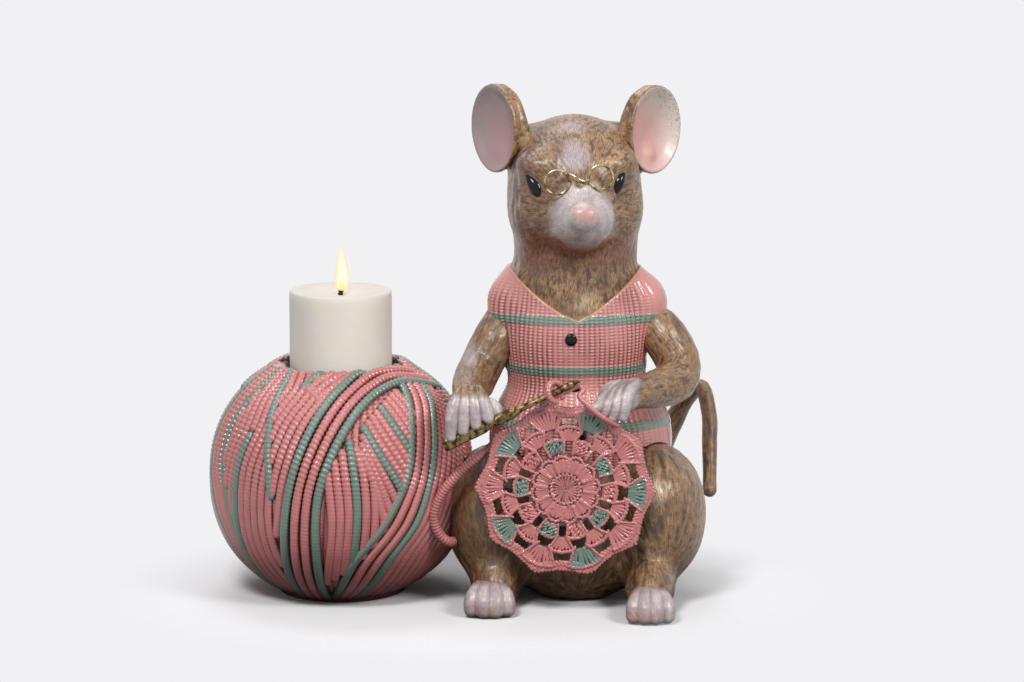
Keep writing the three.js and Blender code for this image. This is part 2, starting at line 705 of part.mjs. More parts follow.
const pointAngle = (k) => rad(DOILY_TURN + (360 * k) / DOILY_POINTS);
const doilyMiddle = [-3.4, DOILY_Y, DOILY_HEIGHT];
const placeDoily = (made) => made.rotate([90, 0, 0]).translate(...doilyMiddle);

function doilyEdge(radius, perPoint) {
  return Array.from({ length: DOILY_POINTS * perPoint }, (_, i) => {
    const angle = pointAngle(i / perPoint);
    const fall = 1 - DOILY_DIP * Math.abs(Math.sin((Math.PI * i) / perPoint));
    return new THREE.Vector2(Math.cos(angle), Math.sin(angle)).multiplyScalar(radius * fall);
  });
}

// A lens-shaped opening, long across the radius.
function opening(k, radius, across, deep) {
  const angle = pointAngle(k);
  const CORNERS = 6;
  const points = Array.from({ length: CORNERS }, (_, i) => {
    const turn = (2 * Math.PI * (i + 0.5)) / CORNERS;
    const out = new THREE.Vector2(radius + deep * Math.cos(turn), across * Math.sin(turn));
    return out.rotateAround(new THREE.Vector2(), angle);
  });
  return new THREE.Path(points);
}

// A fan of treble stitches: ridges spread from its narrow end.
function stitchFan(k, { inner, outer, width, ridges }) {
  const NARROW_END = 0.3; // width of the narrow end, as a share
  const buried = DOILY_THICKNESS / 2 - 0.5;
  const valley = DOILY_THICKNESS + 0.12;
  const crown = DOILY_THICKNESS + STITCH_RISE;
  const angle = pointAngle(k);
  const columns = 2 * ridges;
  const at = (radius, side, height) => {
    const p = new THREE.Vector2(radius, side).rotateAround(new THREE.Vector2(), angle);
    return vec(p.x, p.y, height);
  };
  const row = (radius, share, high) => {
    const across = (i) => (i / columns - 0.5) * width * share;
    const top = Array.from({ length: columns + 1 }, (_, i) => at(radius, across(i), i % 2 ? high : valley));
    return [...top, at(radius, across(columns), buried), at(radius, across(0), buried)];
  };
  return ringStack([row(inner, NARROW_END, crown - 0.3), row(outer, 1, crown)]);
}

// The flower in the middle.
function flower() {
  const PETALS = 12;
  const RADIUS = 11.6;
  const ring = (radius, low, high) =>
    Array.from({ length: 2 * PETALS }, (_, i) => {
      const angle = (Math.PI * i) / PETALS;
      const out = i % 2 ? radius * 0.94 : radius;
      return vec(out * Math.cos(angle), out * Math.sin(angle), i % 2 ? low : high);
    });
  const top = DOILY_THICKNESS;
  return ringStack([
    ring(RADIUS, top - 0.5, top - 0.5),
    ring(RADIUS * 0.72, top + 0.2, top + 1.4),
    ring(RADIUS * 0.18, top + 0.2, top + 0.4),
  ]);
}

// The rounds of the doily, by radius from the middle out
const INNER_ROUND = 15.4; // openings between the flower and the shells
const SHELL_ROUND = 22.1; // openings between the shells and the fans
const FAN_ROUND = 26.4; // openings between one fan and the next
const SHELL_WIDTH = 7.4;
const FAN_WIDTH = 9.6;
const STITCH_RISE = 0.8; // height of the stitches above the sheet

function doily() {
  const sheet = new THREE.Shape(doilyEdge(DOILY_RADIUS - EDGE_CORD_DIAMETER * 0.6, 4));
  for (let k = 0; k < DOILY_POINTS; k++) {
    sheet.holes.push(opening(k + 0.5, INNER_ROUND, 1.9, 1.5));
    sheet.holes.push(opening(k, SHELL_ROUND, 2.8, 1.2));
    sheet.holes.push(opening(k + 0.5, FAN_ROUND, 3.1, 1.5));
  }
  const flat = solid(new THREE.ExtrudeGeometry(sheet, { depth: DOILY_THICKNESS, bevelEnabled: false }));
  const cordRadius = EDGE_CORD_DIAMETER / 2;
  const route = doilyEdge(DOILY_RADIUS - cordRadius, 4);
  const edge = closedCord(route.map(({ x, y }) => vec(x, y, DOILY_THICKNESS / 2 + 0.15)), cordRadius, 6);
  const fans = [];
  for (let k = 0; k < DOILY_POINTS; k++) {
    const fanEnd = DOILY_RADIUS - 1.5 * EDGE_CORD_DIAMETER;
    fans.push(stitchFan(k, { inner: SHELL_ROUND + 2, outer: fanEnd, width: FAN_WIDTH, ridges: 4 }));
    fans.push(
      stitchFan(k, { inner: INNER_ROUND - 2.2, outer: SHELL_ROUND - 1.8, width: SHELL_WIDTH, ridges: 2 }),
    );
  }
  return placeDoily(join([flat, edge, flower(), ...fans]));
}

// A round cord along a closed route of points.
function closedCord(route, radius, sides) {
  const count = route.length;
  const corners = [];
  const ring = (k) => {
    const along = route[(k + 1) % count].clone().sub(route[(k + count - 1) % count]).normalize();
    const out = along.clone().cross(vec(0, 0, 1));
    return Array.from({ length: sides }, (_, i) => {
      const angle = (2 * Math.PI * i) / sides;
      const lift = vec(0, 0, radius * Math.sin(angle));
      return route[k].clone().addScaledVector(out, radius * Math.cos(angle)).add(lift);
    });
  };
  const rings = route.map((_, k) => ring(k));
  for (let k = 0; k < count; k++) {
    for (let i = 0; i < sides; i++) {
      const [a, b] = [rings[k][i], rings[k][(i + 1) % sides]];
      const [c, d] = [rings[(k + 1) % count][(i + 1) % sides], rings[(k + 1) % count][i]];
      for (const p of [a, b, c, a, c, d]) corners.push(p.x, p.y, p.z);
    }
  }
  const geometry = new THREE.BufferGeometry();
  geometry.setAttribute("position", new THREE.Float32BufferAttribute(corners, 3));
  return solid(geometry);
}

// The space that the doily fills, with no openings, for cutting what lies against it.
function doilySpace(grow) {
  const outline = new THREE.Shape(doilyEdge(DOILY_RADIUS + grow, 2));
  const depth = EDGE_CORD_DIAMETER + 2 * grow + 0.4;
  const slab = solid(new THREE.ExtrudeGeometry(outline, { depth, bevelEnabled: false }));
  return placeDoily(slab.translate(0, 0, -grow - EDGE_CORD_DIAMETER / 2 + DOILY_THICKNESS / 2));
}

// Arms and paws

// A paw: the palm, four fingers and a thumb, each finger a limb from the palm.
function paw(palm, size, fingers, grow = 0) {
  const body = ellipsoid(palm, size.map((s) => s + grow), 10, 6);
  return join([body, ...fingers.map((route) => limb(route, { sides: 5, steps: 3, grow }))]);
}

function hookArm(grow = 0) {
  const arm = limb(
    [
      [-28, 7, 107, 7.6],
      [-31, 2, 101, 8.6],
      [-36.5, -2, 91, 8.4],
      [-39.5, -9, 85.5, 8.4],
      [-41, -22, 83.5, 7],
      [-41.6, -34, 82, 6],
    ],
    { sides: 10, steps: 8, grow, ends: ROUND },
  );
  const palm = [-41, -43.5, 81.6];
  const fingers = [0, 1, 2, 3].map((k) => {
    const spread = -6 + 4 * k;
    const root = [palm[0] + spread * 0.8, palm[1] - 3, palm[2] + 3, 2.7];
    const knuckle = [palm[0] + spread * 1.1, palm[1] - 7.6, palm[2] - 1.5, 2.7];
    const tip = [palm[0] + spread * 1.2, palm[1] - 8.4, hookHeightAt(palm[0] + spread * 1.2) + 2.6, 2];
    return [root, knuckle, tip];
  });
  const thumb = [
    [palm[0] + 5, palm[1] + 8, palm[2] - 1, 3],
    [palm[0] + 9.5, palm[1] + 5, palm[2] - 1, 2.6],
    [palm[0] + 11, palm[1] + 3, palm[2] - 5, 2],
  ];
  return arm.add(paw(palm, [8.2, 7.6, 7.2], [...fingers, thumb], grow));
}

const hookHeightAt = (x) => lerp(hookButt[2], hookTip[2], (x - hookButt[0]) / hookRun);

function doilyArm(grow = 0) {
  const arm = limb(
    [
      [29, 7, 106.5, 7.8],
      [34, 2, 102, 9],
      [40, -2, 92, 8.8],
      [39, -10, 86, 8.6],
      [31, -24, 85, 7.4],
      [23.5, -35, 85.5, 6],
    ],
    { sides: 10, steps: 8, grow, ends: ROUND },
  );
  const palm = [15.5, -41, 85.2];
  const fingers = [0, 1, 2, 3].map((k) => {
    const spread = -5.5 + 3.6 * k;
    const root = [palm[0] - 3 + spread * 0.5, palm[1] - 4, palm[2] + 1 + spread * 0.3, 2.6];
    const knuckle = [palm[0] - 6 + spread * 0.9, palm[1] - 8, palm[2] - 3, 2.5];
    const tip = [palm[0] - 8 + spread * 1.05, palm[1] - 8.4, palm[2] - 8.5, 1.9];
    return [root, knuckle, tip];
  });
  const thumb = [
    [palm[0] + 2, palm[1] + 4, palm[2] - 4, 3],
    [palm[0] - 2, palm[1] + 5, palm[2] - 8, 2.2],
  ];
  return arm.add(paw(palm, [8.4, 7.4, 6.6], [...fingers, thumb], grow));
}

// Hind feet: a sole, four toes and a flat underside

function foot(side, [x, y], length, width, grow = 0) {
  const sole = ellipsoid([x, y, 5.5], [width / 2 + grow, length / 2 + grow, 7 + grow], 10, 6);
  const toes = [0, 1, 2, 3].map((k) => {
    const across = (k - 1.5) * width * 0.23;
    const ahead = length / 2 - 1.2 - Math.abs(k - 1.5) * 0.9;
    return ellipsoid([x + across, y - ahead + 2.4, 3.6], [2.5 + grow, 5 + grow, 3.6 + grow], 6, 5);
  });
  const ankle = ellipsoid([x - side * 2, y + length * 0.45, 9], [7 + grow, 6 + grow, 7 + grow], 8, 6);
  return cut(join([sole, ankle, ...toes]), [box([x - 40, y - 60, -20], [x + 40, y + 60, FELT_PROUD])]);
}

const rightFoot = (grow = 0) => foot(-1, [-hipX - 1.5, -40], 28, 20, grow);
const leftFoot = (grow = 0) => foot(1, [hipX - 4, -49], 30, 18.5, grow);

// Yarn

// From between the ball and the right hip, round in front and up to the doily's corner.
function yarnLead() {
  const radius = LEAD_DIAMETER / 2;
  const corner = doilyMiddle[0] + 0.9 * DOILY_RADIUS * Math.cos(pointAngle(4));
  const cornerHeight = DOILY_HEIGHT + 0.9 * DOILY_RADIUS * Math.sin(pointAngle(4));
  const behind = DOILY_Y + radius + GLUE_GAP + EDGE_CORD_DIAMETER / 2 - DOILY_THICKNESS / 2;
  return limb(
    [
      [-46.8, -30, 25.8, radius],
      [-50, -33, 26.6, radius],
      [-53.6, -35, 31, radius],
      [-55, -36.5, 38, radius],
      [-51.6, -38, 47, radius],
      [-45, -39, 55, radius],
      [-38.4, -40.5, 61.2, radius],
      [corner, behind, cornerHeight, radius * 0.9],
    ],
    { sides: 6, steps: 20 },
  );
}

const doilyFront = DOILY_Y - DOILY_THICKNESS / 2 - EDGE_CORD_DIAMETER / 2;

// The loop that the mouse has just drawn through, round the shaft of the hook.
function workingLoop() {
  const radius = LOOP_DIAMETER / 2;
  const reachOut = HOOK_SHAFT_DIAMETER / 2 + radius + GLUE_GAP;
  const at = 44;
  return limb(
    [
      [...alongHook(at - 3.5, [0, -0.2, -reachOut - 2.2]), radius],
      [...alongHook(at - 2.5, [0, -reachOut * 0.9, -1]), radius],
      [...alongHook(at - 0.5, [0, -reachOut * 0.7, reachOut * 0.9]), radius],
      [...alongHook(at + 1.5, [0, reachOut * 0.4, reachOut * 1.1]), radius],
      [...alongHook(at + 2.5, [0, reachOut * 1.1, 0]), radius],
      [...alongHook(at + 2.2, [0, reachOut, -reachOut * 1.4]), radius],
    ],
    { sides: 5, steps: 12 },
  );
}

// The yarn from the tip of the hook to the left paw.
function workingYarn() {
  const radius = LOOP_DIAMETER / 2;
  const front = doilyFront - radius - GLUE_GAP;
  return limb(
    [
      [-2.6, front, 85.4, radius],
      [0.4, front, 84.2, radius],
      [4.4, front, 81, radius],
      [8.6, front, 77.4, radius],
      [12.6, front, 74.2, radius],
    ],
    { sides: 5, steps: 7 },
  );
}

// Pieces, each cut to seat against its neighbours

const ball = yarnBall();
const ballKeepOut = ballSpace().translate(-mouseX, 0, 0);
const hook = crochetHook();
const hookSpace = crochetHook(GLUE_GAP);
const doilyBody = doily();
const doilyKeepOut = doilySpace(GLUE_GAP);
const belowTable = box([-90, -90, -30], [90, 90, FELT_PROUD]);

const lowerBody = cut(lowerCast(), [
  belowTable,
  ballKeepOut,
  seatFelt(GLUE_GAP),
  rightFoot(GLUE_GAP),
  leftFoot(GLUE_GAP),
  tail(GLUE_GAP),
  doilyKeepOut,
]);

const vest = cut(torsoCast(), [
  lowerCast(GLUE_GAP),
  placeHead(headCast(GLUE_GAP)),
  necklineV(GLUE_GAP),
  hookArm(GLUE_GAP),
  doilyArm(GLUE_GAP),
  tail(GLUE_GAP),
  ...buttonPlaces.map((place) => button(place, GLUE_GAP)),
]);

const rightArm = cut(hookArm(), [hookSpace, doilyKeepOut]);
const leftArm = cut(doilyArm(), [doilyKeepOut]);
const lead = cut(yarnLead(), [
  ballKeepOut,
  lowerCast(2 * GLUE_GAP),
  doilyKeepOut,
  hookArm(GLUE_GAP),
  hookSpace,
]);
const loop = cut(workingLoop(), [hookSpace, doilyKeepOut]);
const strand = cut(workingYarn(), [hookSpace, doilyKeepOut, doilyArm(GLUE_GAP)]);

// Colours

const paint = (color, roughness, metalness = 0) => ({ color, roughness, metalness });
const FUR = paint(0x94714f, 0.45);
const PINK_YARN = paint(0xd98a84, 0.4);
const EAR_PINK = paint(0xd3a39c, 0.45);
const WHITE_FUR = paint(0xc3afac, 0.4);
const BRASS = paint(0x7d6a3c, 0.35, 0.7);
const BLACK = paint(0x15130f, 0.12);
const WAX = paint(0xe4dfd6, 0.5);
const FELT = paint(0x3c3a38, 0.95);

function mesh(name, made, finish) {
  const piece = new THREE.Mesh(geometryOf(made), new THREE.MeshStandardMaterial(finish));
  piece.name = name;
  return piece;
}

const holder = new THREE.Group();
holder.add(
  mesh("yarn_ball", ball, PINK_YARN),
  mesh("ball_felt", ballFelt(), FELT),
  mesh("candle", candle(), WAX),
  mesh("wick", wick(), BLACK),
);

const mouse = new THREE.Group();
mouse.position.x = mouseX;
mouse.add(
  mesh("lower_body", lowerBody, FUR),
  mesh("seat_felt", seatFelt(), FELT),
  mesh("right_foot", rightFoot(), WHITE_FUR),
  mesh("left_foot", leftFoot(), WHITE_FUR),
  mesh("tail", tail(), FUR),
  mesh("vest", vest, PINK_YARN),
  mesh("head", head(), FUR),
  mesh("right_arm", rightArm, FUR),
  mesh("left_arm", leftArm, FUR),
  mesh("crochet_hook", hook, BRASS),
  mesh("doily", doilyBody, PINK_YARN),
  mesh("yarn_lead", lead, PINK_YARN),
  mesh("working_loop", loop, PINK_YARN),
  mesh("working_yarn", strand, PINK_YARN),
  ...buttonPlaces.map((place, i) => mesh(`button_${i + 1}`, button(place), BLACK)),
);

// What the head carries stands in the head's own frame
const face = new THREE.Group();
face.position.set(...headMiddle);
face.rotation.z = rad(HEAD_TURN);
face.add(
  mesh("right_ear", ear(-1), EAR_PINK),
  mesh("left_ear", ear(1), EAR_PINK),
  mesh("right_eye", eye(-1), BLACK),
  mesh("left_eye", eye(1), BLACK),
  mesh("spectacles", spectacles(), BRASS),
);
mouse.add(face);
holder.add(mouse);

export default holder;
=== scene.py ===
# %% [markdown]
# # A candle holder: a mouse that crochets beside its ball of yarn
#
# The real object is a figure in cast resin. A sculptor modelled it in clay, a mould was taken, resin was
# poured, and the casting was painted by hand and varnished. So every form here is hard, even the yarn.
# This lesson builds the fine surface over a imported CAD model, which fixes each piece's place and size.

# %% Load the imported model
import math

import bpy
import numpy as np
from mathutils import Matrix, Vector


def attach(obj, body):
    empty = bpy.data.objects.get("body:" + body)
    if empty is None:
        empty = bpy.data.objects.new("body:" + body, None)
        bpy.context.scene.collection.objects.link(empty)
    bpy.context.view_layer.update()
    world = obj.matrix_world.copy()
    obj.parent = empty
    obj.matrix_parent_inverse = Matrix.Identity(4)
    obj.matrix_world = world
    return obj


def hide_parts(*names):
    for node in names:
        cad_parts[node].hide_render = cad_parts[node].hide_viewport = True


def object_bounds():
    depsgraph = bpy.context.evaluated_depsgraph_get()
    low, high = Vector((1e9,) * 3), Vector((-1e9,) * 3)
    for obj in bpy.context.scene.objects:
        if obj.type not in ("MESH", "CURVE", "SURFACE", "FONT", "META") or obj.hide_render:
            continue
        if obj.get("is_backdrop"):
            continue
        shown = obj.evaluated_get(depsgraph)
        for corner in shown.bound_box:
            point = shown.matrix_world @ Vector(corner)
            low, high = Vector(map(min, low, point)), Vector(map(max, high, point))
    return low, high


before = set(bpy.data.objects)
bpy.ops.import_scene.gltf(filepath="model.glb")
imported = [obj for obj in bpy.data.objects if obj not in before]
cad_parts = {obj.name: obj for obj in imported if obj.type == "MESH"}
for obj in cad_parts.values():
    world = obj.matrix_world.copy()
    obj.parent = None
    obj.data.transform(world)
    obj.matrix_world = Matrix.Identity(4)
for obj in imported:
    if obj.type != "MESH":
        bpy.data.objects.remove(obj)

cad_box = [list(corner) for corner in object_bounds()]
print("CAD box in mm:", [[round(1000 * value, 1) for value in corner] for corner in cad_box])

# %% [markdown]
# ## Camera
#
# The photograph looks slightly down from a good distance, so lines hardly converge. A long lens far away
# gives that. 136.7 mm on a 36 mm sensor at 1.5 m was worked out from the candle, the ball and the ears.

# %% Camera
LENS_MM, CAMERA_AT, LOOKS_DOWN = 136.7, (0.0671, -1.5, 0.372), 10.3  # the last one in degrees

camera_data = bpy.data.cameras.new("camera")
camera_data.lens = LENS_MM
camera = bpy.data.objects.new("camera", camera_data)
camera.location = CAMERA_AT
camera.rotation_euler = (math.radians(90 - LOOKS_DOWN), 0, 0)
bpy.context.scene.collection.objects.link(camera)
bpy.context.scene.camera = camera
bpy.context.scene.view_settings.view_transform = "Standard"

# %% [markdown]
# ## Light and ground
#
# A product photograph on a pale ground: big soft boxes from the upper left, the right and above. The world
# is as white as the backdrop for the camera and for reflections, and dimmer for diffuse light, so the lamps
# can shape the forms. The floor is a pale disc that fades out into the backdrop and keeps the shadow.


# %% Colour and node helpers
def linear(code):
    """An sRGB hex colour as linear red, green, blue and alpha."""
    channels = [int(code[i : i + 2], 16) / 255 for i in (1, 3, 5)]
    return [c / 12.92 if c <= 0.04045 else ((c + 0.055) / 1.055) ** 2.4 for c in channels] + [1.0]


def add(tree, kind, links=None, **settings):
    """Adds a node. Settings name its properties or its sockets, and links give {socket: output}."""
    node = tree.nodes.new(kind)
    for name, value in settings.items():
        if hasattr(node, name):
            setattr(node, name, value)
        else:
            node.inputs[name.replace("_", " ")].default_value = value
    for socket, output in (links or {}).items():
        tree.links.new(output, node.inputs[socket])
    return node


def blend(tree, factor, low, high):
    """Mixes two colours, each a hex code or an output."""
    node = add(tree, "ShaderNodeMix", data_type="RGBA")
    for socket, value in ((0, factor), (6, low), (7, high)):
        if isinstance(value, str):
            node.inputs[socket].default_value = linear(value)
        elif isinstance(value, (int, float)):
            node.inputs[socket].default_value = value
        else:
            tree.links.new(value, node.inputs[socket])
    return node.outputs[2]


# %% World
BACKDROP = linear("#f1f1f3")
AMBIENT = 0.25

world = bpy.data.worlds.new("studio")
bpy.context.scene.world = world
world.use_nodes = True
tree = world.node_tree
tree.nodes.clear()
path = add(tree, "ShaderNodeLightPath")
seen = add(tree, "ShaderNodeMath", {0: path.outputs["Is Camera Ray"], 1: path.outputs["Is Glossy Ray"]},
           operation="MAXIMUM")
through = add(tree, "ShaderNodeMath", {0: seen.outputs[0], 1: path.outputs["Is Transmission Ray"]},
              operation="MAXIMUM")
strength = add(tree, "ShaderNodeMapRange", {"Value": through.outputs[0]}, To_Min=AMBIENT, To_Max=1.0)
glow = add(tree, "ShaderNodeBackground", {"Strength": strength.outputs[0]}, Color=BACKDROP)
add(tree, "ShaderNodeOutputWorld", {"Surface": glow.outputs[0]})


# %% Soft boxes
def softbox(name, place, target, size, power):
    """A square area lamp that looks at a target."""
    data = bpy.data.lights.new(name, "AREA")
    data.size = size
    data.energy = power
    lamp = bpy.data.objects.new(name, data)
    lamp.location = place
    lamp.rotation_euler = (Vector(target) - Vector(place)).to_track_quat("-Z", "Y").to_euler()
    bpy.context.scene.collection.objects.link(lamp)
    return lamp


MIDDLE = (0.05, 0, 0.09)
softbox("key", (-0.25, -0.8, 1.0), MIDDLE, 0.3, 9.0)
softbox("right", (0.75, -0.7, 0.75), MIDDLE, 0.3, 6.5)
softbox("back", (-0.1, 0.5, 1.1), MIDDLE, 0.6, 4.0)

# %% Floor that fades into the backdrop
FLOOR_RADIUS, FLOOR_MIDDLE, FLOOR_OVAL = 1.6, (0.05, 0, 0), (1.0, 1.3, 1.0)
FADES_FROM, FADES_TO = 0.085, 0.15  # metres from the middle, along X
PAPER_SEEN, PAPER_BOUNCING = "#f1f1f3", "#6f6f72"


def fresh(name):
    """A new material and its empty tree."""
    material = bpy.data.materials.new(name)
    material.use_nodes = True
    material.node_tree.nodes.clear()
    return material, material.node_tree


bpy.ops.mesh.primitive_circle_add(vertices=96, radius=FLOOR_RADIUS, fill_type="NGON", location=FLOOR_MIDDLE)
floor = bpy.context.object
floor.name = "floor"
# Matt paper gives the eye a soft shadow and no reflection. The camera sees it white, and light that bounces
# sees it darker, so the undersides of the figure stay dark as in the photograph.
paper, tree = fresh("matt_paper_sweep")
place = add(tree, "ShaderNodeNewGeometry")
away = add(tree, "ShaderNodeVectorMath", {0: place.outputs["Position"]}, operation="SUBTRACT")
away.inputs[1].default_value = FLOOR_MIDDLE
oval = add(tree, "ShaderNodeVectorMath", {0: away.outputs[0]}, operation="MULTIPLY")
oval.inputs[1].default_value = FLOOR_OVAL
far = add(tree, "ShaderNodeVectorMath", {0: oval.outputs[0]}, operation="LENGTH")
fade = add(tree, "ShaderNodeMapRange", {"Value": far.outputs["Value"]}, interpolation_type="SMOOTHSTEP",
           From_Min=FADES_FROM, From_Max=FADES_TO)
path = add(tree, "ShaderNodeLightPath")
seen = blend(tree, path.outputs["Is Camera Ray"], PAPER_BOUNCING, PAPER_SEEN)
matt = add(tree, "ShaderNodeBsdfDiffuse", {"Color": seen})
clear = add(tree, "ShaderNodeBsdfTransparent")
mixed = add(tree, "ShaderNodeMixShader", {0: fade.outputs[0], 1: matt.outputs[0], 2: clear.outputs[0]})
add(tree, "ShaderNodeOutputMaterial", {"Surface": mixed.outputs[0]})
floor.data.materials.append(paper)
floor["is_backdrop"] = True

# %% [markdown]
# ## Making meshes from numbers
#
# The piece helper takes points in millimetres and faces, and makes an object in metres that rides on its CAD
# body. Extra numbers for each point, called marks, are kept as attributes. The paint reads them, for example
# to find the grooves.

# %% The helper that makes a piece
MM = 0.001


def piece(name, points, faces, material, body="figure", stands_for=(), marks=None):
    """A mesh object from points in mm, riding on a body. Marks are named numbers for each point."""
    mesh = bpy.data.meshes.new(name)
    mesh.from_pydata(np.asarray(points) * MM, [], faces)
    mesh.update()
    mesh.polygons.foreach_set("use_smooth", [True] * len(mesh.polygons))
    for mark, values in (marks or {}).items():
        values = np.asarray(values, np.float32)
        kind, field = ("FLOAT", "value") if values.ndim == 1 else ("FLOAT_VECTOR", "vector")
        mesh.attributes.new(mark, kind, "POINT").data.foreach_set(field, values.ravel())
    made = bpy.data.objects.new(name, mesh)
    bpy.context.scene.collection.objects.link(made)
    mesh.materials.append(material)
    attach(made, body)
    if stands_for:
        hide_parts(*stands_for)
    print(f"{name}: {len(mesh.vertices)} points")
    return made


def joined(parts):
    """Several (points, faces) as one, with the faces counted on."""
    faces, start = [], 0
    for points, own in parts:
        faces += [[start + i for i in face] for face in own]
        start += len(points)
    return np.concatenate([points for points, _ in parts]), faces


# %% Noise, the same at every run
def noise(points, size, seed=0):
    """Smooth random values from 0 to 1, which change over a distance of size."""
    cells = np.asarray(points) / size + 7.31 * seed
    base = np.floor(cells).astype(np.int64)
    share = cells - base
    share = share * share * (3 - 2 * share)
    total = np.zeros(len(cells))
    for corner in np.ndindex(2, 2, 2):
        at = base + corner
        mix = (at[:, 0] * 73856093) ^ (at[:, 1] * 19349663) ^ (at[:, 2] * 83492791) ^ (seed * 2654435)
        mix = ((mix ^ (mix >> 13)) * 1274126177) & 0xFFFFFFFF
        value = ((mix ^ (mix >> 16)) & 0xFFFF) / 65535
        weight = np.prod(np.where(corner, share, 1 - share), axis=1)
        total += weight * value
    return total


# %% [markdown]
# ## Lines and cords
#
# A smooth line runs through a few stations. A cord is a tube along such a line. The yarn is modelled as a
# ribbed cord: its radius swells and shrinks along its length, as a tightly plied yarn does.


# %% Smooth lines
def spline(stations, count):
    """Points on a smooth line through stations. The first three numbers are x, y and z."""
    rows = np.array(stations, float)
    rows = np.concatenate([[2 * rows[0] - rows[1]], rows, [2 * rows[-1] - rows[-2]]])
    gaps = np.linalg.norm(np.diff(rows[:, :3], axis=0), axis=1)
    knots = np.concatenate([[0], np.cumsum(np.sqrt(gaps + 1e-9))])
    places = np.linspace(1, len(rows) - 2, count)
    low = np.minimum(places.astype(int), len(rows) - 3)
    t = (knots[low] + (places - low) * (knots[low + 1] - knots[low]))[:, None]
    k = [knots[low + i - 1][:, None] for i in range(4)]
    p = [rows[low + i - 1] for i in range(4)]
    mix = lambda a, b, ta, tb: (tb - t) / (tb - ta) * a + (t - ta) / (tb - ta) * b
    a = [mix(p[i], p[i + 1], k[i], k[i + 1]) for i in range(3)]
    b = [mix(a[i], a[i + 1], k[i], k[i + 2]) for i in range(2)]
    return mix(b[0], b[1], k[1], k[2])


def even(line, step):
    """The same line with its points about one step apart, and how far along each one is."""
    gaps = np.linalg.norm(np.diff(line[:, :3], axis=0), axis=1)
    along = np.concatenate([[0], np.cumsum(gaps)])
    want = np.linspace(0, along[-1], max(3, round(along[-1] / step) + 1))
    return np.stack([np.interp(want, along, column) for column in line.T], axis=1), want


def unit(vectors):
    return vectors / np.maximum(np.linalg.norm(vectors, axis=-1, keepdims=True), 1e-12)


def between_rings(count, sides):
    """The quads between rings of points, one ring after another."""
    i, j = np.meshgrid(np.arange(count - 1), np.arange(sides), indexing="ij")
    a, b = i * sides + j, i * sides + (j + 1) % sides
    return np.stack([a, b, b + sides, a + sides], axis=-1).reshape(-1, 4).tolist()


def tube(line, radius, up=None, sides=8):
    """A closed tube along a line. Radius is one number, one for each point of the line or one for each point
    of the tube, and up lies across the line."""
    count = len(line)
    radius = np.asarray(radius, float)
    radius = np.broadcast_to(radius[:, None] if radius.ndim == 1 else radius, (count, sides))
    tangent = unit(np.gradient(line, axis=0))
    if up is None:
        up = np.zeros_like(line)
        up[0] = unit(np.cross(tangent[0], (0.3, 1, 0.2)))
        for i in range(1, count):
            up[i] = unit(up[i - 1] - tangent[i] * (up[i - 1] @ tangent[i]))
    side = unit(np.cross(tangent, up))
    up = np.cross(side, tangent)
    turn = 2 * np.pi * np.arange(sides) / sides
    ring = np.cos(turn)[None, :, None] * side[:, None] + np.sin(turn)[None, :, None] * up[:, None]
    points = (line[:, None] + radius[..., None] * ring).reshape(-1, 3)
    faces = between_rings(count, sides)
    faces.append(list(range(sides))[::-1])
    faces.append([(count - 1) * sides + k for k in range(sides)])
    return points, faces


# %% Ribbed yarn
RIB = 1.45  # mm between two ribs of the yarn
STEPS_IN_RIB = 4
RIB_SLANT = 0.9  # how far the ribs lean, as in plied yarn


def yarn(line, radius, up=None, sides=8, rib=RIB, depth=0.1, coarse=None):
    """A ribbed cord with rounded ends: points, faces, and how deep each point lies between the ribs.
    Coarse gives a height, above which the ribs are coarser and deeper."""
    line, along = even(line, rib / STEPS_IN_RIB)
    if up is not None:
        share, old = np.linspace(0, 1, len(line)), np.linspace(0, 1, len(up))
        up = unit(np.stack([np.interp(share, old, column) for column in up.T], axis=1))
    high = np.zeros(len(line)) if coarse is None else rise(line[:, 2], coarse - 4, coarse + 12)
    turns = np.concatenate([[0], np.cumsum(np.diff(along) / (rib * (1 + 0.35 * high[1:])))])
    around = 2 * np.pi * np.arange(sides) / sides
    wave = np.cos(2 * np.pi * turns[:, None] + RIB_SLANT * np.cos(around))
    to_end = np.minimum(along, along[-1] - along) / radius
    ends = np.sqrt(np.clip(1 - (1 - np.clip(to_end + 0.12, 0, 1)) ** 2, 0.02, 1))
    uneven = 0.96 + 0.08 * noise(line, 5.0, 3)
    own = (radius * ends * uneven)[:, None] * (1 + (depth * (1 + 3 * high))[:, None] * wave)
    points, faces = tube(line, own, up, sides)
    return points, faces, ((0.5 - 0.5 * wave) * (0.5 + 0.5 * high[:, None])).ravel()


def rise(value, low, high):
    """0 below low, 1 above high, smooth between. Low may be the greater one."""
    share = np.clip((value - low) / (high - low), 0, 1)
    return share * share * (3 - 2 * share)


# %% [markdown]
# ## Paint and varnish
#
# The resin is painted in several coats. A dark, thinned wash stays in the grooves and makes them read, the
# high places stay light, and clear gloss varnish covers it all. Part of that darkness is painted shade: under the
# strands and in the gaps of the ball, low in the doily, between the ribs of the knitting and between toes and
# fingers. Varnish is a coat with an IOR of about 1.5 over a paint of middle roughness. The marks called groove,
# green, pale and so on place the colours.


# %% Painted resin
VARNISH_IOR = 1.5


def mark(tree, name):
    """The numbers that the piece helper kept under a name."""
    return add(tree, "ShaderNodeAttribute", attribute_name=name).outputs["Fac"]


def ramp(tree, value, low, high):
    """0 up to low, 1 from high, smooth between."""
    return add(tree, "ShaderNodeMapRange", {"Value": value}, interpolation_type="SMOOTHSTEP",
               From_Min=low, From_Max=high).outputs[0]


def cloud(tree, size_mm, detail=3.0):
    """Noise in the object's own space, with features of a real size."""
    place = add(tree, "ShaderNodeTexCoord").outputs["Object"]
    return add(tree, "ShaderNodeTexNoise", {"Vector": place}, Scale=1000 / size_mm, Detail=detail).outputs["Fac"]


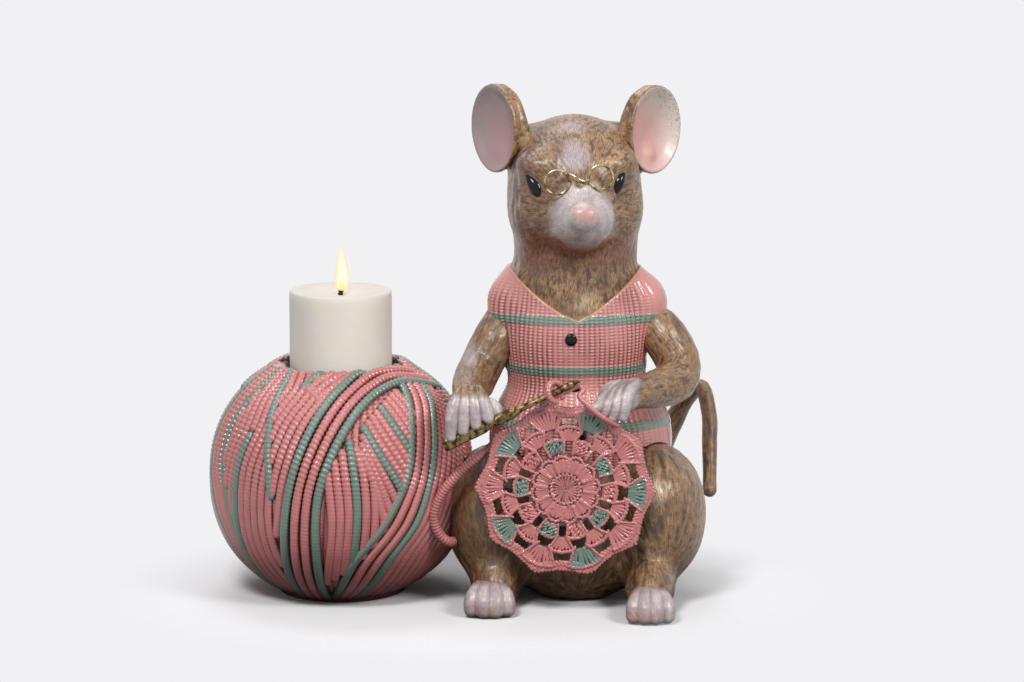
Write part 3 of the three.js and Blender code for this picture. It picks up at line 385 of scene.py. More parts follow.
def principled(name, **settings):
    """A material with one Principled shader: the material, its tree and the shader."""
    material, tree = fresh(name)
    shader = add(tree, "ShaderNodeBsdfPrincipled", **settings)
    add(tree, "ShaderNodeOutputMaterial", {"Surface": shader.outputs[0]})
    return material, tree, shader


def relief(tree, shader, height, depth_mm):
    """Gives a shader fine bumps of a real depth."""
    bumps = add(tree, "ShaderNodeBump", {"Height": height}, Strength=1.0, Distance=depth_mm * MM)
    tree.links.new(bumps.outputs[0], shader.inputs["Normal"])


def varnished(name, roughness=0.45, coat=1.0, coat_roughness=0.1):
    """A varnished material without its colour yet."""
    return principled(name, Roughness=roughness, IOR=VARNISH_IOR, Coat_Weight=coat,
                      Coat_Roughness=coat_roughness, Coat_IOR=VARNISH_IOR)


# %% The yarn's paint
YARN_PINK, YARN_PINK_DEEP, YARN_WASH_AND_SHADE = "#cb7b77", "#bd6c69", "#5e2526"
YARN_GREEN, YARN_GREEN_WASH_AND_SHADE = "#6a7d70", "#2f3a33"

# Dusty pink and sage under clear varnish: the eye gets a white glint on every rib. The wine red between the ribs
# and strands is partly wash and partly painted shade.
yarn_paint, tree, shader = varnished("painted_resin_yarn", coat_roughness=0.06)
relief(tree, shader, cloud(tree, 0.7), 0.03)
wash_and_shade = ramp(tree, mark(tree, "groove"), 0.1, 0.85)
pink = blend(tree, wash_and_shade, blend(tree, cloud(tree, 9.0), YARN_PINK_DEEP, YARN_PINK), YARN_WASH_AND_SHADE)
green = blend(tree, wash_and_shade, YARN_GREEN, YARN_GREEN_WASH_AND_SHADE)
tree.links.new(blend(tree, mark(tree, "green"), pink, green), shader.inputs["Base Color"])

# %% [markdown]
# ## The ball of yarn
#
# The ball is flattened a little and rather square in the shoulders, which a superellipse gives. Strands lie
# on it in three layers: a first winding from the foot to the rim, fans of strands over that, and on top the
# broad bands with green edges. Routes are directions seen from the middle of the ball, [azimuth, elevation]
# in degrees, and azimuth -90 faces the camera.

# %% The ball's surface
BALL_RADIUS, BALL_HALF, BALL_MIDDLE, BALL_FULLNESS = 51.5, 48.5, 46.2, 2.2
WELL_RADIUS, RIM_HEIGHT, WELL_FLOOR = 22.8, 90.8, 59.4
FELT_TOP, FOOT = 1.4, 0.3


def on_ball(direction, lift):
    """Points on the ball and the way out from it, for unit directions."""
    flat = np.hypot(direction[:, 0], direction[:, 1])
    size = (flat / BALL_RADIUS) ** BALL_FULLNESS + np.abs(direction[:, 2] / BALL_HALF) ** BALL_FULLNESS
    point = direction * (size ** (-1 / BALL_FULLNESS))[:, None]
    out = np.maximum(np.hypot(point[:, 0], point[:, 1]), 1e-6)
    slope = (out / BALL_RADIUS) ** (BALL_FULLNESS - 1) / BALL_RADIUS / out
    steep = np.sign(point[:, 2]) * np.abs(point[:, 2] / BALL_HALF) ** (BALL_FULLNESS - 1) / BALL_HALF
    normal = unit(np.stack([point[:, 0] * slope, point[:, 1] * slope, steep], axis=1))
    return point + normal * np.reshape(lift, (-1, 1)) + (0, 0, BALL_MIDDLE), normal


# %% Winding the strands
STRAND, STRAND_SIDES = 1.95, 8  # the radius of a strand in mm, and the sides of its tube
PITCH = 3.6  # mm between two strands side by side
CRESTS = (0.65, 1.0, 1.4)  # height of the tops of the strands over the ball, layer by layer
BED = -1.1  # the same for the first winding, which shows only between the others
LIP = WELL_RADIUS + 1.2  # mm from the axis, where the strands turn down into the well

strand_parts, strand_green, strand_groove = [], [], []


def directions(route, count=72):
    """Directions along a route of [azimuth, elevation] pairs."""
    azimuth, elevation = np.radians(np.array(route, float)).T
    flat = np.cos(elevation)
    return spline(np.stack([flat * np.cos(azimuth), flat * np.sin(azimuth), np.sin(elevation)], axis=1), count)


def lay(way, crest, green=False, radius=STRAND):
    """Lays one strand over the ball along directions."""
    middle, normal = on_ball(unit(way), crest - radius)
    out = np.hypot(middle[:, 0], middle[:, 1])
    top = middle[:, 2] > BALL_MIDDLE
    over = np.where(top, np.clip(LIP - out, 0, None), 0)
    middle[:, :2] *= ((out + over) / out)[:, None]
    middle[:, 2] += np.where(top, rise(out, LIP + 7, LIP), 0) - 1.2 * over
    keep = middle[:, 2] > 0
    middle[:, 2] = np.maximum(middle[:, 2], radius + 0.1)  # they lie flat where the ball rests on the table
    if keep.sum() < 4:
        return
    points, faces, groove = yarn(middle[keep], radius, normal[keep], STRAND_SIDES, depth=0.02, coarse=BALL_MIDDLE)
    strand_parts.append((points, faces))
    turn = 2 * np.pi * np.arange(STRAND_SIDES) / STRAND_SIDES
    # The flanks and undersides of each strand, where it meets its neighbours and the ball, are darker: painted shade
    flank_shade = np.tile(np.clip(0.75 - np.sin(turn), 0, 1), len(points) // STRAND_SIDES)
    strand_groove.append(np.clip(0.28 * groove + flank_shade, 0, 1))
    strand_green.append(np.full(len(points), float(green)))


def spread(first, last, strands, layer, greens=(), skip=0, start=0):
    """Strands side by side from one route to another."""
    for k in range(skip, strands):
        share = k / (strands - 1)
        way = directions(first) * (1 - share) + directions(last) * share
        lay(way[start:], CRESTS[layer], k in greens)


def fill(first, last, layer=0):
    """Strands at an even pitch beside the last route, which end where they meet the first one."""
    first, last = directions(first), directions(last)
    width = np.linalg.norm(on_ball(unit(first), 0)[0] - on_ball(unit(last), 0)[0], axis=1)
    for k in range(1, int(width.max() / PITCH) + 1):
        inside = np.flatnonzero(width > k * PITCH)
        for run in np.split(inside, np.flatnonzero(np.diff(inside) > 1) + 1):
            share = (k * PITCH / width[run])[:, None]
            lay(last[run] * (1 - share) + first[run] * share, CRESTS[layer])


LEFT_END = [[-184, 70], [-189, 48], [-194, 31], [-198, 11], [-198, -10], [-196, -30], [-192, -72]]
LEFT_OUTER = [[-172, 70], [-173, 46], [-170, 25], [-168, 6], [-161, -12], [-153, -30], [-150, -72]]
LEFT_INNER = [[-158, 70], [-152, 44], [-154, 28], [-152, 8], [-146, -10], [-143, -30], [-146, -72]]
WEDGE = [[-148, 70], [-139, 44], [-136, 29], [-140, 10], [-142, -14], [-144, -36], [-148, -72]]
LEFT_STREAK = [[-146, 70], [-131, 48], [-126, 31], [-121, 10], [-119, -10], [-119, -32], [-124, -72]]
BAND_EDGE = [[-70, 70], [-88, 52], [-103, 32], [-110, 8], [-113, -10], [-117, -30], [-132, -72]]
FRONT_BAND_LEFT = [[-20, 61], [-41, 64], [-72, 61], [-97, 42], [-110, 8], [-116, -28], [-132, -72]]
FRONT_BAND_RIGHT = [[2, 41], [-14, 48], [-45, 53], [-77, 41], [-97, 6], [-100, -31], [-102, -72]]
SIDE_BAND_LEFT = [[-22, 70], [-42, 47], [-51, 29], [-58, 9], [-68, -10], [-82, -30], [-106, -72]]
SIDE_BAND_RIGHT = [[-2, 70], [-23, 44], [-36, 28], [-45, 8], [-52, -10], [-64, -30], [-88, -72]]
FAN_TOP = [[-50, 50], [-47, 42], [-46, 34]]
FAN_MIDDLE = [[-77, 33], [-71, 21], [-60, 2]]
FAN_END = [[-79, 22], [-73, 6], [-68, -12]]
FAN_STREAK = [[-84, 27], [-81, -4], [-83, -34]]
FAN_RIGHT = [[-79, 22], [-73, 6], [-68, -12], [-82, -33]]
FAN_LEFT = [[-94, 14], [-92, -10], [-97, -45]]
CROWN_LEFT = [[-117, 51], [-108, 60], [-90, 65]]
CROWN_RIGHT = [[-104, 44], [-92, 54], [-66, 63]]


def turned(route, by):
    return [[azimuth + by, elevation] for azimuth, elevation in route]


WINDINGS = 80
for k in range(WINDINGS):
    azimuth = 360 * k / WINDINGS
    lay(directions([[azimuth, -72], [azimuth + 4, -30], [azimuth + 10, 30], [azimuth + 14, 70]]), BED)
for by in (0, 180):  # the back of the ball is wound as the front is
    wound = lambda way, first, last, *how, **more: way(turned(first, by), turned(last, by), *how, **more)
    wound(fill, LEFT_OUTER, LEFT_END)
    wound(fill, LEFT_INNER, WEDGE)
    wound(fill, LEFT_STREAK, WEDGE)
    wound(fill, LEFT_STREAK, BAND_EDGE)
    wound(fill, turned(LEFT_END, 180), SIDE_BAND_RIGHT)
    wound(fill, FAN_RIGHT, FAN_STREAK)
    wound(spread, FAN_STREAK, FAN_LEFT, 4, 0, (0,))
    wound(spread, FAN_MIDDLE, FAN_END, 4, 0, skip=1)
    wound(spread, FAN_TOP, FAN_MIDDLE, 9, 0, (4,))
    lay(directions(turned(FAN_MIDDLE, by)), CRESTS[1], True)
    wound(spread, LEFT_INNER, LEFT_OUTER, 4, 1, (0, 3))
    wound(spread, CROWN_LEFT, CROWN_RIGHT, 4, 1, (0,))
    lay(directions(turned(WEDGE, by))[:26], CRESTS[0])
    lay(directions(turned(WEDGE, by))[25:], CRESTS[1], True)
    lay(directions(turned(LEFT_STREAK, by))[:43], CRESTS[1], True)
    wound(spread, SIDE_BAND_LEFT, SIDE_BAND_RIGHT, 4, 1, (0, 3), start=7)
    wound(spread, FRONT_BAND_LEFT, FRONT_BAND_RIGHT, 4, 2, (0, 3))

points, faces = joined(strand_parts)
piece("yarn_strands", points, faces, yarn_paint,
      marks={"green": np.concatenate(strand_green), "groove": np.concatenate(strand_groove)})


# %% The ball's core, with the well for the candle
def lathe(profile, segments):
    """A closed body turned about Z, from [radius, height] pairs that start and end on the axis."""
    profile = np.array(profile, float)
    turn = 2 * np.pi * np.arange(segments) / segments
    inner = profile[1:-1]
    points = np.stack([np.outer(inner[:, 0], np.cos(turn)), np.outer(inner[:, 0], np.sin(turn)),
                       np.repeat(inner[:, 1:], segments, axis=1)], axis=-1).reshape(-1, 3)
    faces = between_rings(len(inner), segments)
    start, last = len(points), (len(inner) - 1) * segments
    faces += [[start, (j + 1) % segments, j] for j in range(segments)]
    faces += [[start + 1, last + j, last + (j + 1) % segments] for j in range(segments)]
    return np.concatenate([points, [[0, 0, profile[0][1]], [0, 0, profile[-1][1]]]]), faces


SUNK = 2.4  # mm, how far the core's surface lies under the ball's own
RECESS = 12.3  # mm, radius of the hollow for the felt

polar = np.radians(np.linspace(-68, 64, 40))
core_line, _ = on_ball(np.stack([np.cos(polar), 0 * polar, np.sin(polar)], axis=1), -SUNK)
core_line = core_line[(core_line[:, 0] > WELL_RADIUS + 0.5) & (core_line[:, 2] > FOOT)]
profile = [[0, FELT_TOP + 0.3], [RECESS, FELT_TOP + 0.3], [RECESS, FOOT], [core_line[0][0] - 1, FOOT]]
profile += [[x, z] for x, _, z in core_line]
profile += [[WELL_RADIUS + 1.1, RIM_HEIGHT - 0.6], [WELL_RADIUS + 0.2, RIM_HEIGHT - 0.8],
            [WELL_RADIUS, RIM_HEIGHT - 2], [WELL_RADIUS, WELL_FLOOR + 1], [WELL_RADIUS - 1, WELL_FLOOR],
            [0, WELL_FLOOR]]
points, faces = lathe(profile, 96)
# The core shows only in the gaps between the strands and in the well, and its darker groove value there is painted
# shade
inside = (np.hypot(points[:, 0], points[:, 1]) < WELL_RADIUS + 0.3) & (points[:, 2] > 50)
piece("yarn_ball_core", points, faces, yarn_paint, stands_for=("yarn_ball",),
      marks={"green": np.zeros(len(points)), "groove": np.where(inside, 0.35, 0.6)})

# %% [markdown]
# ## Candle, wick and flame
#
# The candle is plain ivory wax, cast and smooth. Wax lets light in a little way and scatters it, which softens
# its shading, so it gets some subsurface light. A first burn has left a shallow pool round the wick, where the
# wax is clearer and a little greyer. The rim is a little rounded, and it takes the same greyer colour as painted
# shade, which damps the highlight on it.

# %% Candle
CANDLE_RADIUS, CANDLE_FOOT, CANDLE_TOP = 20, 59.74, 119.74
POOL_DEPTH, POOL_RADIUS, RIM_ROUND = 2, 15.5, 1.0
WICK_RADIUS, WICK_STAND = 0.95, 4
WAX, WAX_WARM, WAX_MELTED_AND_RIM_SHADE = "#e6e0d6", "#efebe3", "#cfcac3"

# Paraffin wax (IOR 1.44) is half matt, and light goes about 4 mm into it, the red part of it furthest.
wax, tree, shader = principled("cast_paraffin_wax", Roughness=0.55, IOR=1.44, Subsurface_Weight=0.6,
                               Subsurface_Radius=(1.0, 0.75, 0.5), Subsurface_Scale=0.004)
colour = blend(tree, mark(tree, "melted_pool_and_rim_shade"), blend(tree, cloud(tree, 16.0), WAX, WAX_WARM), WAX_MELTED_AND_RIM_SHADE)
tree.links.new(colour, shader.inputs["Base Color"])
relief(tree, shader, cloud(tree, 5.0), 0.12)

corner = np.radians(np.linspace(0, 90, 7))
rounded = [[CANDLE_RADIUS - RIM_ROUND + math.cos(a), CANDLE_TOP - RIM_ROUND + math.sin(a)] for a in corner]
dish = [[r, CANDLE_TOP - POOL_DEPTH * (1 - (r / POOL_RADIUS) ** 2) ** 1.5] for r in np.linspace(POOL_RADIUS, 1.2, 9)]
side = [[CANDLE_RADIUS, z] for z in np.linspace(CANDLE_FOOT + 1.2, CANDLE_TOP - 4, 20)]
profile = [[0, CANDLE_FOOT], [CANDLE_RADIUS - 1.2, CANDLE_FOOT]] + side + rounded + dish
profile += [[0, CANDLE_TOP - POOL_DEPTH]]
points, faces = lathe(profile, 96)
uneven = 0.25 * (noise(points * (1, 1, 0.4), 9, 3) - 0.5)
flat = np.hypot(points[:, 0], points[:, 1])[:, None]
points[:, :2] += points[:, :2] / np.maximum(flat, 1) * np.where(flat > 15, uneven[:, None], 0)
pool_and_rim_shade = rise(flat[:, 0] + noise(points, 5, 3), CANDLE_RADIUS, CANDLE_RADIUS - 1.0)
pool_and_rim_shade *= rise(points[:, 2], CANDLE_TOP - 5, CANDLE_TOP - 4)
# The rounded rim takes the greyer colour too, as painted shade that damps its highlight
pool_and_rim_shade = np.maximum(pool_and_rim_shade, rise(points[:, 2], CANDLE_TOP - 1.1, CANDLE_TOP - 0.5))
piece("candle_wax", points, faces, wax, "candle", ("candle",), {"melted_pool_and_rim_shade": pool_and_rim_shade})

# %% Wick
# Charred cotton is rough and nearly black, with the plaits of the braid still on it.
char, _, _ = principled("charred_cotton_braid", Base_Color=linear("#1c1613"), Roughness=0.9)
pool = CANDLE_TOP - POOL_DEPTH
stations = [[0, 0, pool - 4], [0, 0, pool], [0.3, 0, pool + 2], [0.9, -0.2, pool + WICK_STAND + 0.6]]
points, faces, _ = yarn(spline(stations, 30), WICK_RADIUS, sides=10, rib=1.1, depth=0.14)
piece("candle_wick", points, faces, char, "candle", ("wick",))

# %% [markdown]
# The flame is a slender drop of glowing gas. It gives light and has no hard surface, so it is made of shells
# one inside the other: thin orange ones outside and a dense, nearly white one inside. The gas just over the
# wick is cooler, so a small orange dome stands there, and the shells round it are thinner at that height.

# %% Flame
FLAME_FOOT, FLAME_LENGTH, FLAME_HALF = pool + 1.6, 19.0, 3.1
# For each shell: how wide and how tall it is beside the whole flame, how dense it is and how hot it glows
LAYERS = ((1.08, 1.0, 0.12, 0.0), (0.9, 0.95, 0.35, 0.45), (0.72, 0.9, 1.0, 1.0), (0.54, 0.34, 1.0, 0.12))
ORANGE, YELLOW, NEARLY_WHITE = "#fa8a34", "#ffcf55", "#fff6d8"

gas, tree = fresh("glowing_candle_gas")
heat = mark(tree, "glow")  # not called heat, which Cycles keeps for smoke and fire
warm = blend(tree, ramp(tree, heat, 0.0, 0.6), ORANGE, YELLOW)
hot = blend(tree, ramp(tree, heat, 0.5, 1.0), warm, NEARLY_WHITE)
light = add(tree, "ShaderNodeEmission", {"Color": hot}, Strength=2.0)
clear = add(tree, "ShaderNodeBsdfTransparent")
mixed = add(tree, "ShaderNodeMixShader", {0: mark(tree, "dense"), 1: clear.outputs[0], 2: light.outputs[0]})
add(tree, "ShaderNodeOutputMaterial", {"Surface": mixed.outputs[0]})
shells, heats, denses = [], [], []
for wide, tall, dense, heat in LAYERS:
    share = np.linspace(0, 1, 30)
    drop = np.sin(np.pi * share ** 0.62) ** (0.5 + 0.45 * share ** 0.5) * (1 - 0.35 * share)
    height = FLAME_FOOT + FLAME_LENGTH * share * tall
    points, faces = lathe(np.stack([FLAME_HALF * wide * drop, height], axis=1), 24)
    height = (points[:, 2] - FLAME_FOOT) / FLAME_LENGTH
    by_dome = rise(height, 0.28, 0.16) * (tall > 0.5)
    heats.append(np.full(len(points), heat))
    denses.append(dense * (1 - 0.72 * by_dome))
    points[:, 0] += 0.5 + 0.5 * np.sin(height * 3.0) - 0.6 * height  # it bends a little, as in a draught
    shells.append((points, faces))
points, faces = joined(shells)
flame = piece("candle_flame", points, faces, gas, "candle",
              marks={"glow": np.concatenate(heats), "dense": np.concatenate(denses)})
flame.visible_shadow = False

# %% [markdown]
# ## Clay made of numbers
#
# The mouse was modelled in clay: lumps pressed together and smoothed. A distance field does the same. Each lump
# is an ellipsoid, and a soft minimum lets neighbours run together. The field is sampled on a grid, and a net
# of quads is drawn where its sign changes. Only the blocks of the grid near the surface are worked out.


# %% Distance fields
SOFT = 3.2


def lump(points, at, size):
    """About how far points are outside an ellipsoid."""
    offset = points - np.array(at, float)
    scaled = np.linalg.norm(offset / size, axis=-1)
    slope = np.linalg.norm(offset / np.square(size), axis=-1)
    return scaled * (scaled - 1) / np.maximum(slope, 1e-9)


def merge(distances, soft=SOFT):
    """The soft minimum of several distances."""
    nearest = np.minimum.reduce(distances)
    return nearest - soft * np.log(sum(np.exp((nearest - d) / soft) for d in distances))


def clay(points, lumps, soft=SOFT):
    return merge([lump(points, at, size) for at, size in lumps], soft)


def to_segment(points, a, b):
    """How far along the line from a to b points are, from 0 to 1, and how far away from it."""
    along = b - a
    share = np.clip((points - a) @ along / (along @ along), 0, 1)
    return share, np.linalg.norm(points - a - share[..., None] * along, axis=-1)


def limb(points, stations, count=18):
    """How far points are outside a limb through stations of [x, y, z, radius]."""
    line = spline(stations, count)
    best = np.full(len(points), 1e9)
    for a, b in zip(line[:-1], line[1:]):
        share, gone = to_segment(points, a[:3], b[:3])
        best = np.minimum(best, gone - a[3] - share * (b[3] - a[3]))
    return best


# %% The net of quads round a field
def net(values, low, cell):
    """Points and quads where the values of a grid change sign."""
    inside = values < 0
    corners = list(np.ndindex(2, 2, 2))
    size = np.array(values.shape) - 1
    view = lambda array, c: array[c[0] : c[0] + size[0], c[1] : c[1] + size[1], c[2] : c[2] + size[2]]
    count = sum(view(inside, c).astype(np.int8) for c in corners)
    active = np.argwhere((count > 0) & (count < 8))
    number = np.full(size, -1, np.int64)
    number[tuple(active.T)] = np.arange(len(active))
    value = {c: values[tuple((active + c).T)] for c in corners}
    total, crossings = np.zeros((len(active), 3)), np.zeros(len(active))
    for a in corners:
        for axis in range(3):
            if a[axis]:
                continue
            b = tuple(1 if i == axis else a[i] for i in range(3))
            crossed = (value[a] < 0) != (value[b] < 0)
            share = np.where(crossed, value[a] / np.where(crossed, value[a] - value[b], 1), 0)
            spot = np.tile(np.array(a, float), (len(active), 1))
            spot[:, axis] = share
            total += spot * crossed[:, None]
            crossings += crossed
    points = low + cell * (active + total / crossings[:, None])
    quads = []
    for axis in range(3):
        u, v = (axis + 1) % 3, (axis + 2) % 3
        ahead = np.roll(np.eye(3, dtype=int)[0], axis)
        start = tuple(slice(0, -1) if i == axis else slice(1, -1) for i in range(3))
        other = tuple(slice(1, None) if i == axis else slice(1, -1) for i in range(3))
        edges = np.argwhere(inside[start] != inside[other]) + (1 - ahead)
        out = inside[tuple(edges.T)]
        back_u, back_v = np.eye(3, dtype=int)[u], np.eye(3, dtype=int)[v]
        ring = [number[tuple((edges - m * back_u - n * back_v).T)] for m, n in ((1, 1), (0, 1), (0, 0), (1, 0))]
        quad = np.stack(ring, axis=1)
        quads.append(np.where(out[:, None], quad, quad[:, ::-1]))
    return points, np.concatenate(quads)


BLOCK = 8  # cells along the side of a block


def skin(distance, low, high, cell):
    """A net round a distance field, inside a box, pulled exactly onto the surface."""
    low = np.array(low, float)
    blocks = np.ceil((np.array(high) - low) / (cell * BLOCK)).astype(int)
    middles = low + (np.argwhere(np.ones(blocks, bool)) + 0.5) * cell * BLOCK
    coarse = distance(middles).reshape(blocks)
    near = np.abs(coarse) < cell * BLOCK * 1.25
    grow = lambda array: array.repeat(BLOCK, 0).repeat(BLOCK, 1).repeat(BLOCK, 2)
    values = np.pad(grow(coarse), (0, 1), mode="edge")
    wanted = np.zeros(values.shape, bool)
    fine = grow(near)
    for c in np.ndindex(2, 2, 2):
        wanted[c[0] : c[0] + fine.shape[0], c[1] : c[1] + fine.shape[1], c[2] : c[2] + fine.shape[2]] |= fine
    spots = np.argwhere(wanted)
    values[wanted] = distance(low + spots * cell)
    points, quads = net(values, low, cell)
    for _ in range(2):
        normal = slope(distance, points)
        points = points - normal * np.clip(distance(points), -cell, cell)[:, None]
    return points, quads, slope(distance, points)


def slope(distance, points, step=0.08):
    """The way out of a field, as unit vectors."""
    total = 0
    for way in ((1, -1, -1), (-1, -1, 1), (-1, 1, -1), (1, 1, 1)):
        total = total + np.array(way) * distance(points + np.array(way) * step)[:, None]
    return unit(total)


# %% [markdown]
# ## Fur
#
# The sculptor combed the clay with a fine tool, so the fur is short, shallow, parallel strokes. Averaging noise
# along the direction of the hair stretches its grains into such strokes. The brown wash then sits in the
# strokes: raw umber in the grooves and ochre on the ridges. Over that lie painted shade on the sides away from
# the light and in the creases between toes and fingers, and painted highlights in violet grey and in cream
# where the light catches.

# %% Fur strokes
def across(way, normal):
    """The part of a direction that lies in the surface."""
    return way - normal * np.sum(way * normal, axis=1, keepdims=True)


def strokes(points, normal, flow, size, length, samples=6):
    """Combed noise from 0 to 1 along a direction of hair."""
    along = unit(across(flow, normal))
    shifts = np.linspace(-length / 2, length / 2, samples)
    total = sum(noise(points + along * shift, size, 1) for shift in shifts)
    return np.clip((total / samples - 0.5) * 2.6 + 0.5, 0, 1)


# The darkest colour is the wash in the strokes, and also the colour of the painted shade
FUR_LIGHT, FUR_MIDDLE, FUR_DARK, FUR_WASH_AND_SHADE = "#b38b60", "#94704e", "#6b4a31", "#412819"
STROKE_MM, STROKE_LONG = 0.34, 2.2  # mm; the real strokes are finer, and wouldn't show in a render of this size


def combed(tree, size_mm, length_mm, steps=5):
    """Noise stretched along the mark called flow: the mean of a few samples along it."""
    place = add(tree, "ShaderNodeTexCoord").outputs["Object"]
    flow = add(tree, "ShaderNodeAttribute", attribute_name="flow").outputs["Vector"]
    total = None
    for i in range(steps):
        shifted = add(tree, "ShaderNodeVectorMath", {0: flow, 2: place}, operation="MULTIPLY_ADD")
        shifted.inputs[1].default_value = [(i / (steps - 1) - 0.5) * length_mm * MM] * 3
        grain = add(tree, "ShaderNodeTexNoise", {"Vector": shifted.outputs[0]}, Scale=1000 / size_mm,
                    Detail=0.0).outputs["Fac"]
        total = add(tree, "ShaderNodeMath", {0: total, 1: grain}, operation="ADD").outputs[0] if i else grain
    return ramp(tree, total, 0.4 * steps, 0.54 * steps)


def fur_colours(tree):
    """Ochre and umber in patches, with dark strokes that follow the hair."""
    base = blend(tree, ramp(tree, cloud(tree, 6.0), 0.35, 0.65), FUR_MIDDLE, FUR_LIGHT)
    base = blend(tree, ramp(tree, cloud(tree, 2.2), 0.5, 0.7), base, FUR_DARK)
    stroke = combed(tree, STROKE_MM, STROKE_LONG)
    streaked = blend(tree, stroke, blend(tree, 0.75, base, FUR_WASH_AND_SHADE), base)
    return blend(tree, ramp(tree, mark(tree, "groove"), 0.45, 1.05), streaked, FUR_WASH_AND_SHADE), stroke


# Brown fur under half gloss varnish: broad soft glints on the high places, and none in the strokes. Every mark
# has a darker colour in the strokes and a lighter one between them.
fur, tree, shader = varnished("painted_resin_fur", roughness=0.5, coat=0.6, coat_roughness=0.28)
base, stroke = fur_colours(tree)
# Painted shade, painted highlights in violet grey and in cream, and a red brown blush on the throat, each over the
# strokes
for name, in_stroke, between_strokes in (("shade", FUR_WASH_AND_SHADE, FUR_DARK), ("bloom", "#a09092", "#b9abad"),
                                         ("blush", "#6e4030", "#a66c54"), ("cream", "#a5875e", "#dccbaa")):
    base = blend(tree, mark(tree, name), base, blend(tree, stroke, in_stroke, between_strokes))
worn = blend(tree, ramp(tree, cloud(tree, 6.0), 0.35, 0.65), "#b3a5a8", "#d6cbc7")
# Painted shade in the creases between toes and fingers
worn = blend(tree, mark(tree, "cleft"), worn, "#6d4a42")
base = blend(tree, mark(tree, "pale"), base, blend(tree, stroke, blend(tree, 0.3, worn, "#7d6259"), worn))
base = blend(tree, mark(tree, "pink"), base, "#ca948c")
tree.links.new(base, shader.inputs["Base Color"])
relief(tree, shader, stroke, 0.1)

MOUSE = np.array([92, 0, 0])
FUR_MARKS = ("shade", "pale", "pink", "bloom", "blush", "cleft", "cream")


def furred(name, distance, low, high, flow, node, cell, depth=0.26, hair=1.0, slot="fur_resin", length=5.0,
           size=1.1, **painted):
    """A piece of fur: the skin of a field with combed strokes. Marks are functions of the points."""
    points, quads, normal = skin(distance, low, high, cell)
    way = flow(points)
    comb = strokes(points, normal, way, size, length)
    value = {name: painted[name](points) if name in painted else np.zeros(len(points)) for name in FUR_MARKS}
    shown = points - normal * (depth * (comb - 0.35) * (1 - 0.75 * value["pale"]))[:, None]
    marks = {"groove": comb, **{name: np.clip(value[name], 0, 1) for name in FUR_MARKS},
             "flow": hair * unit(across(way, normal))}
    return piece(name, shown + MOUSE, quads.tolist(), fur, "figure", (node,), marks)


# %% Lower body
HIP = 32
LOWER = [([0, 8, 30], [36, 33, 33]), ([0, -12, 24], [28, 22, 26]), ([-HIP, -14, 33.5], [19, 26, 27]),
         ([HIP, -13, 33.5], [19, 27, 27]), ([2 - HIP, -28, 44], [11, 11, 11]), ([HIP - 1, -27, 44], [11, 11, 11]),
         ([1 - HIP, -30, 9], [9, 14, 10]), ([HIP - 3, -35, 9], [9, 18, 10])]


def outside_ball(points, rise_mm):
    """About how far points are outside the ball of yarn, raised by a little."""
    world = points + MOUSE - (0, 0, BALL_MIDDLE)
    flat = np.hypot(world[:, 0], world[:, 1])
    size = (flat / BALL_RADIUS) ** BALL_FULLNESS + np.abs(world[:, 2] / BALL_HALF) ** BALL_FULLNESS
    return (size ** (1 / BALL_FULLNESS) - 1) * BALL_RADIUS - rise_mm


DOILY_MIDDLE = np.array([-4.4, -43.6, 49.8])
DOILY_RADIUS = 34.8


def doily_room(points, gap=0.3):
    """About how far points are outside the flat room that the doily takes up."""
    offset = points - DOILY_MIDDLE
    out = np.hypot(offset[:, 0], offset[:, 2]) - DOILY_RADIUS - gap
    return np.maximum.reduce([out, offset[:, 1] - 0.45 - gap, -2.5 - gap - offset[:, 1]])


def lower_body(points):
    return np.maximum.reduce([clay(points, LOWER), 0.3 - points[:, 2], -outside_ball(points, 1.1),
                              -doily_room(points)])


def haunch_flow(points):
    """Hair runs from the back over the haunches, forwards and down."""
    flow = np.zeros_like(points)
    flow[:, 1] = -1
    flow[:, 2] = -0.9 - 0.5 * np.abs(points[:, 0]) / HIP
    flow[:, 0] = 0.25 * np.sign(points[:, 0]) * rise(np.abs(points[:, 0]), 5, 30)
    return flow


furred("mouse_lower_body", lower_body, (-56, -60, -1), (56, 46, 68), haunch_flow, "lower_body", 0.62,
       depth=0.5, size=1.5, length=8.0, hair=0.75,
       shade=lambda p: 0.3 * rise(p[:, 2], 18, 2) + 0.5 * rise(p[:, 0], 0, -30),
       # a painted warm highlight on the left knee
       cream=lambda p: 0.8 * rise(lump(p, [30.5, -37, 46], [3.5, 4, 4.5]), 2, -1.5))


# %% Feet
def foot(side, x, y, length, width):
    """The distance to one hind foot, a domed paw with four long toes and an ankle, and its toes."""
    lumps = [([x, y + 0.5, 5.2], [width / 2 - 0.4, length / 2 - 1, 7.6]),
             ([x - 2 * side, y + 0.45 * length, 9], [7, 6, 7])]
    toes = []
    for k in range(4):
        out = (k - 1.5) * width * 0.235
        ahead = length / 2 - 1.6 - 0.16 * abs(out) ** 1.4
        toes.append([[x + 0.55 * out, y + 3, 10.2, 2.0], [x + 0.85 * out, y - 0.5 * ahead, 9.0, 2.7],
                     [x + out, y - ahead + 2.6, 6.0, 2.9], [x + out, y - ahead + 2.4, 3.2, 2.9]])
    toe = lambda p: merge([limb(p, stations, 10) for stations in toes], 0.7)
    return lambda p: np.maximum(merge([clay(p, lumps, 1.5), toe(p)], 0.5), 0.3 - p[:, 2]), toes


def between(limbs):
    """A mark for painted shade in the creases between neighbouring limbs, such as toes: 1 where two are equally near.
    """
    def value(points):
        near = np.sort([limb(points, stations, 10) for stations in limbs], axis=0)
        return rise(near[1] - near[0], 0.9, 0.1) * rise(near[0], 2.5, 0.6)
    return value


def foot_flow(points):
    """Hair runs forwards to the toes."""
    return np.tile([0.1, -1.0, -0.5], (len(points), 1))


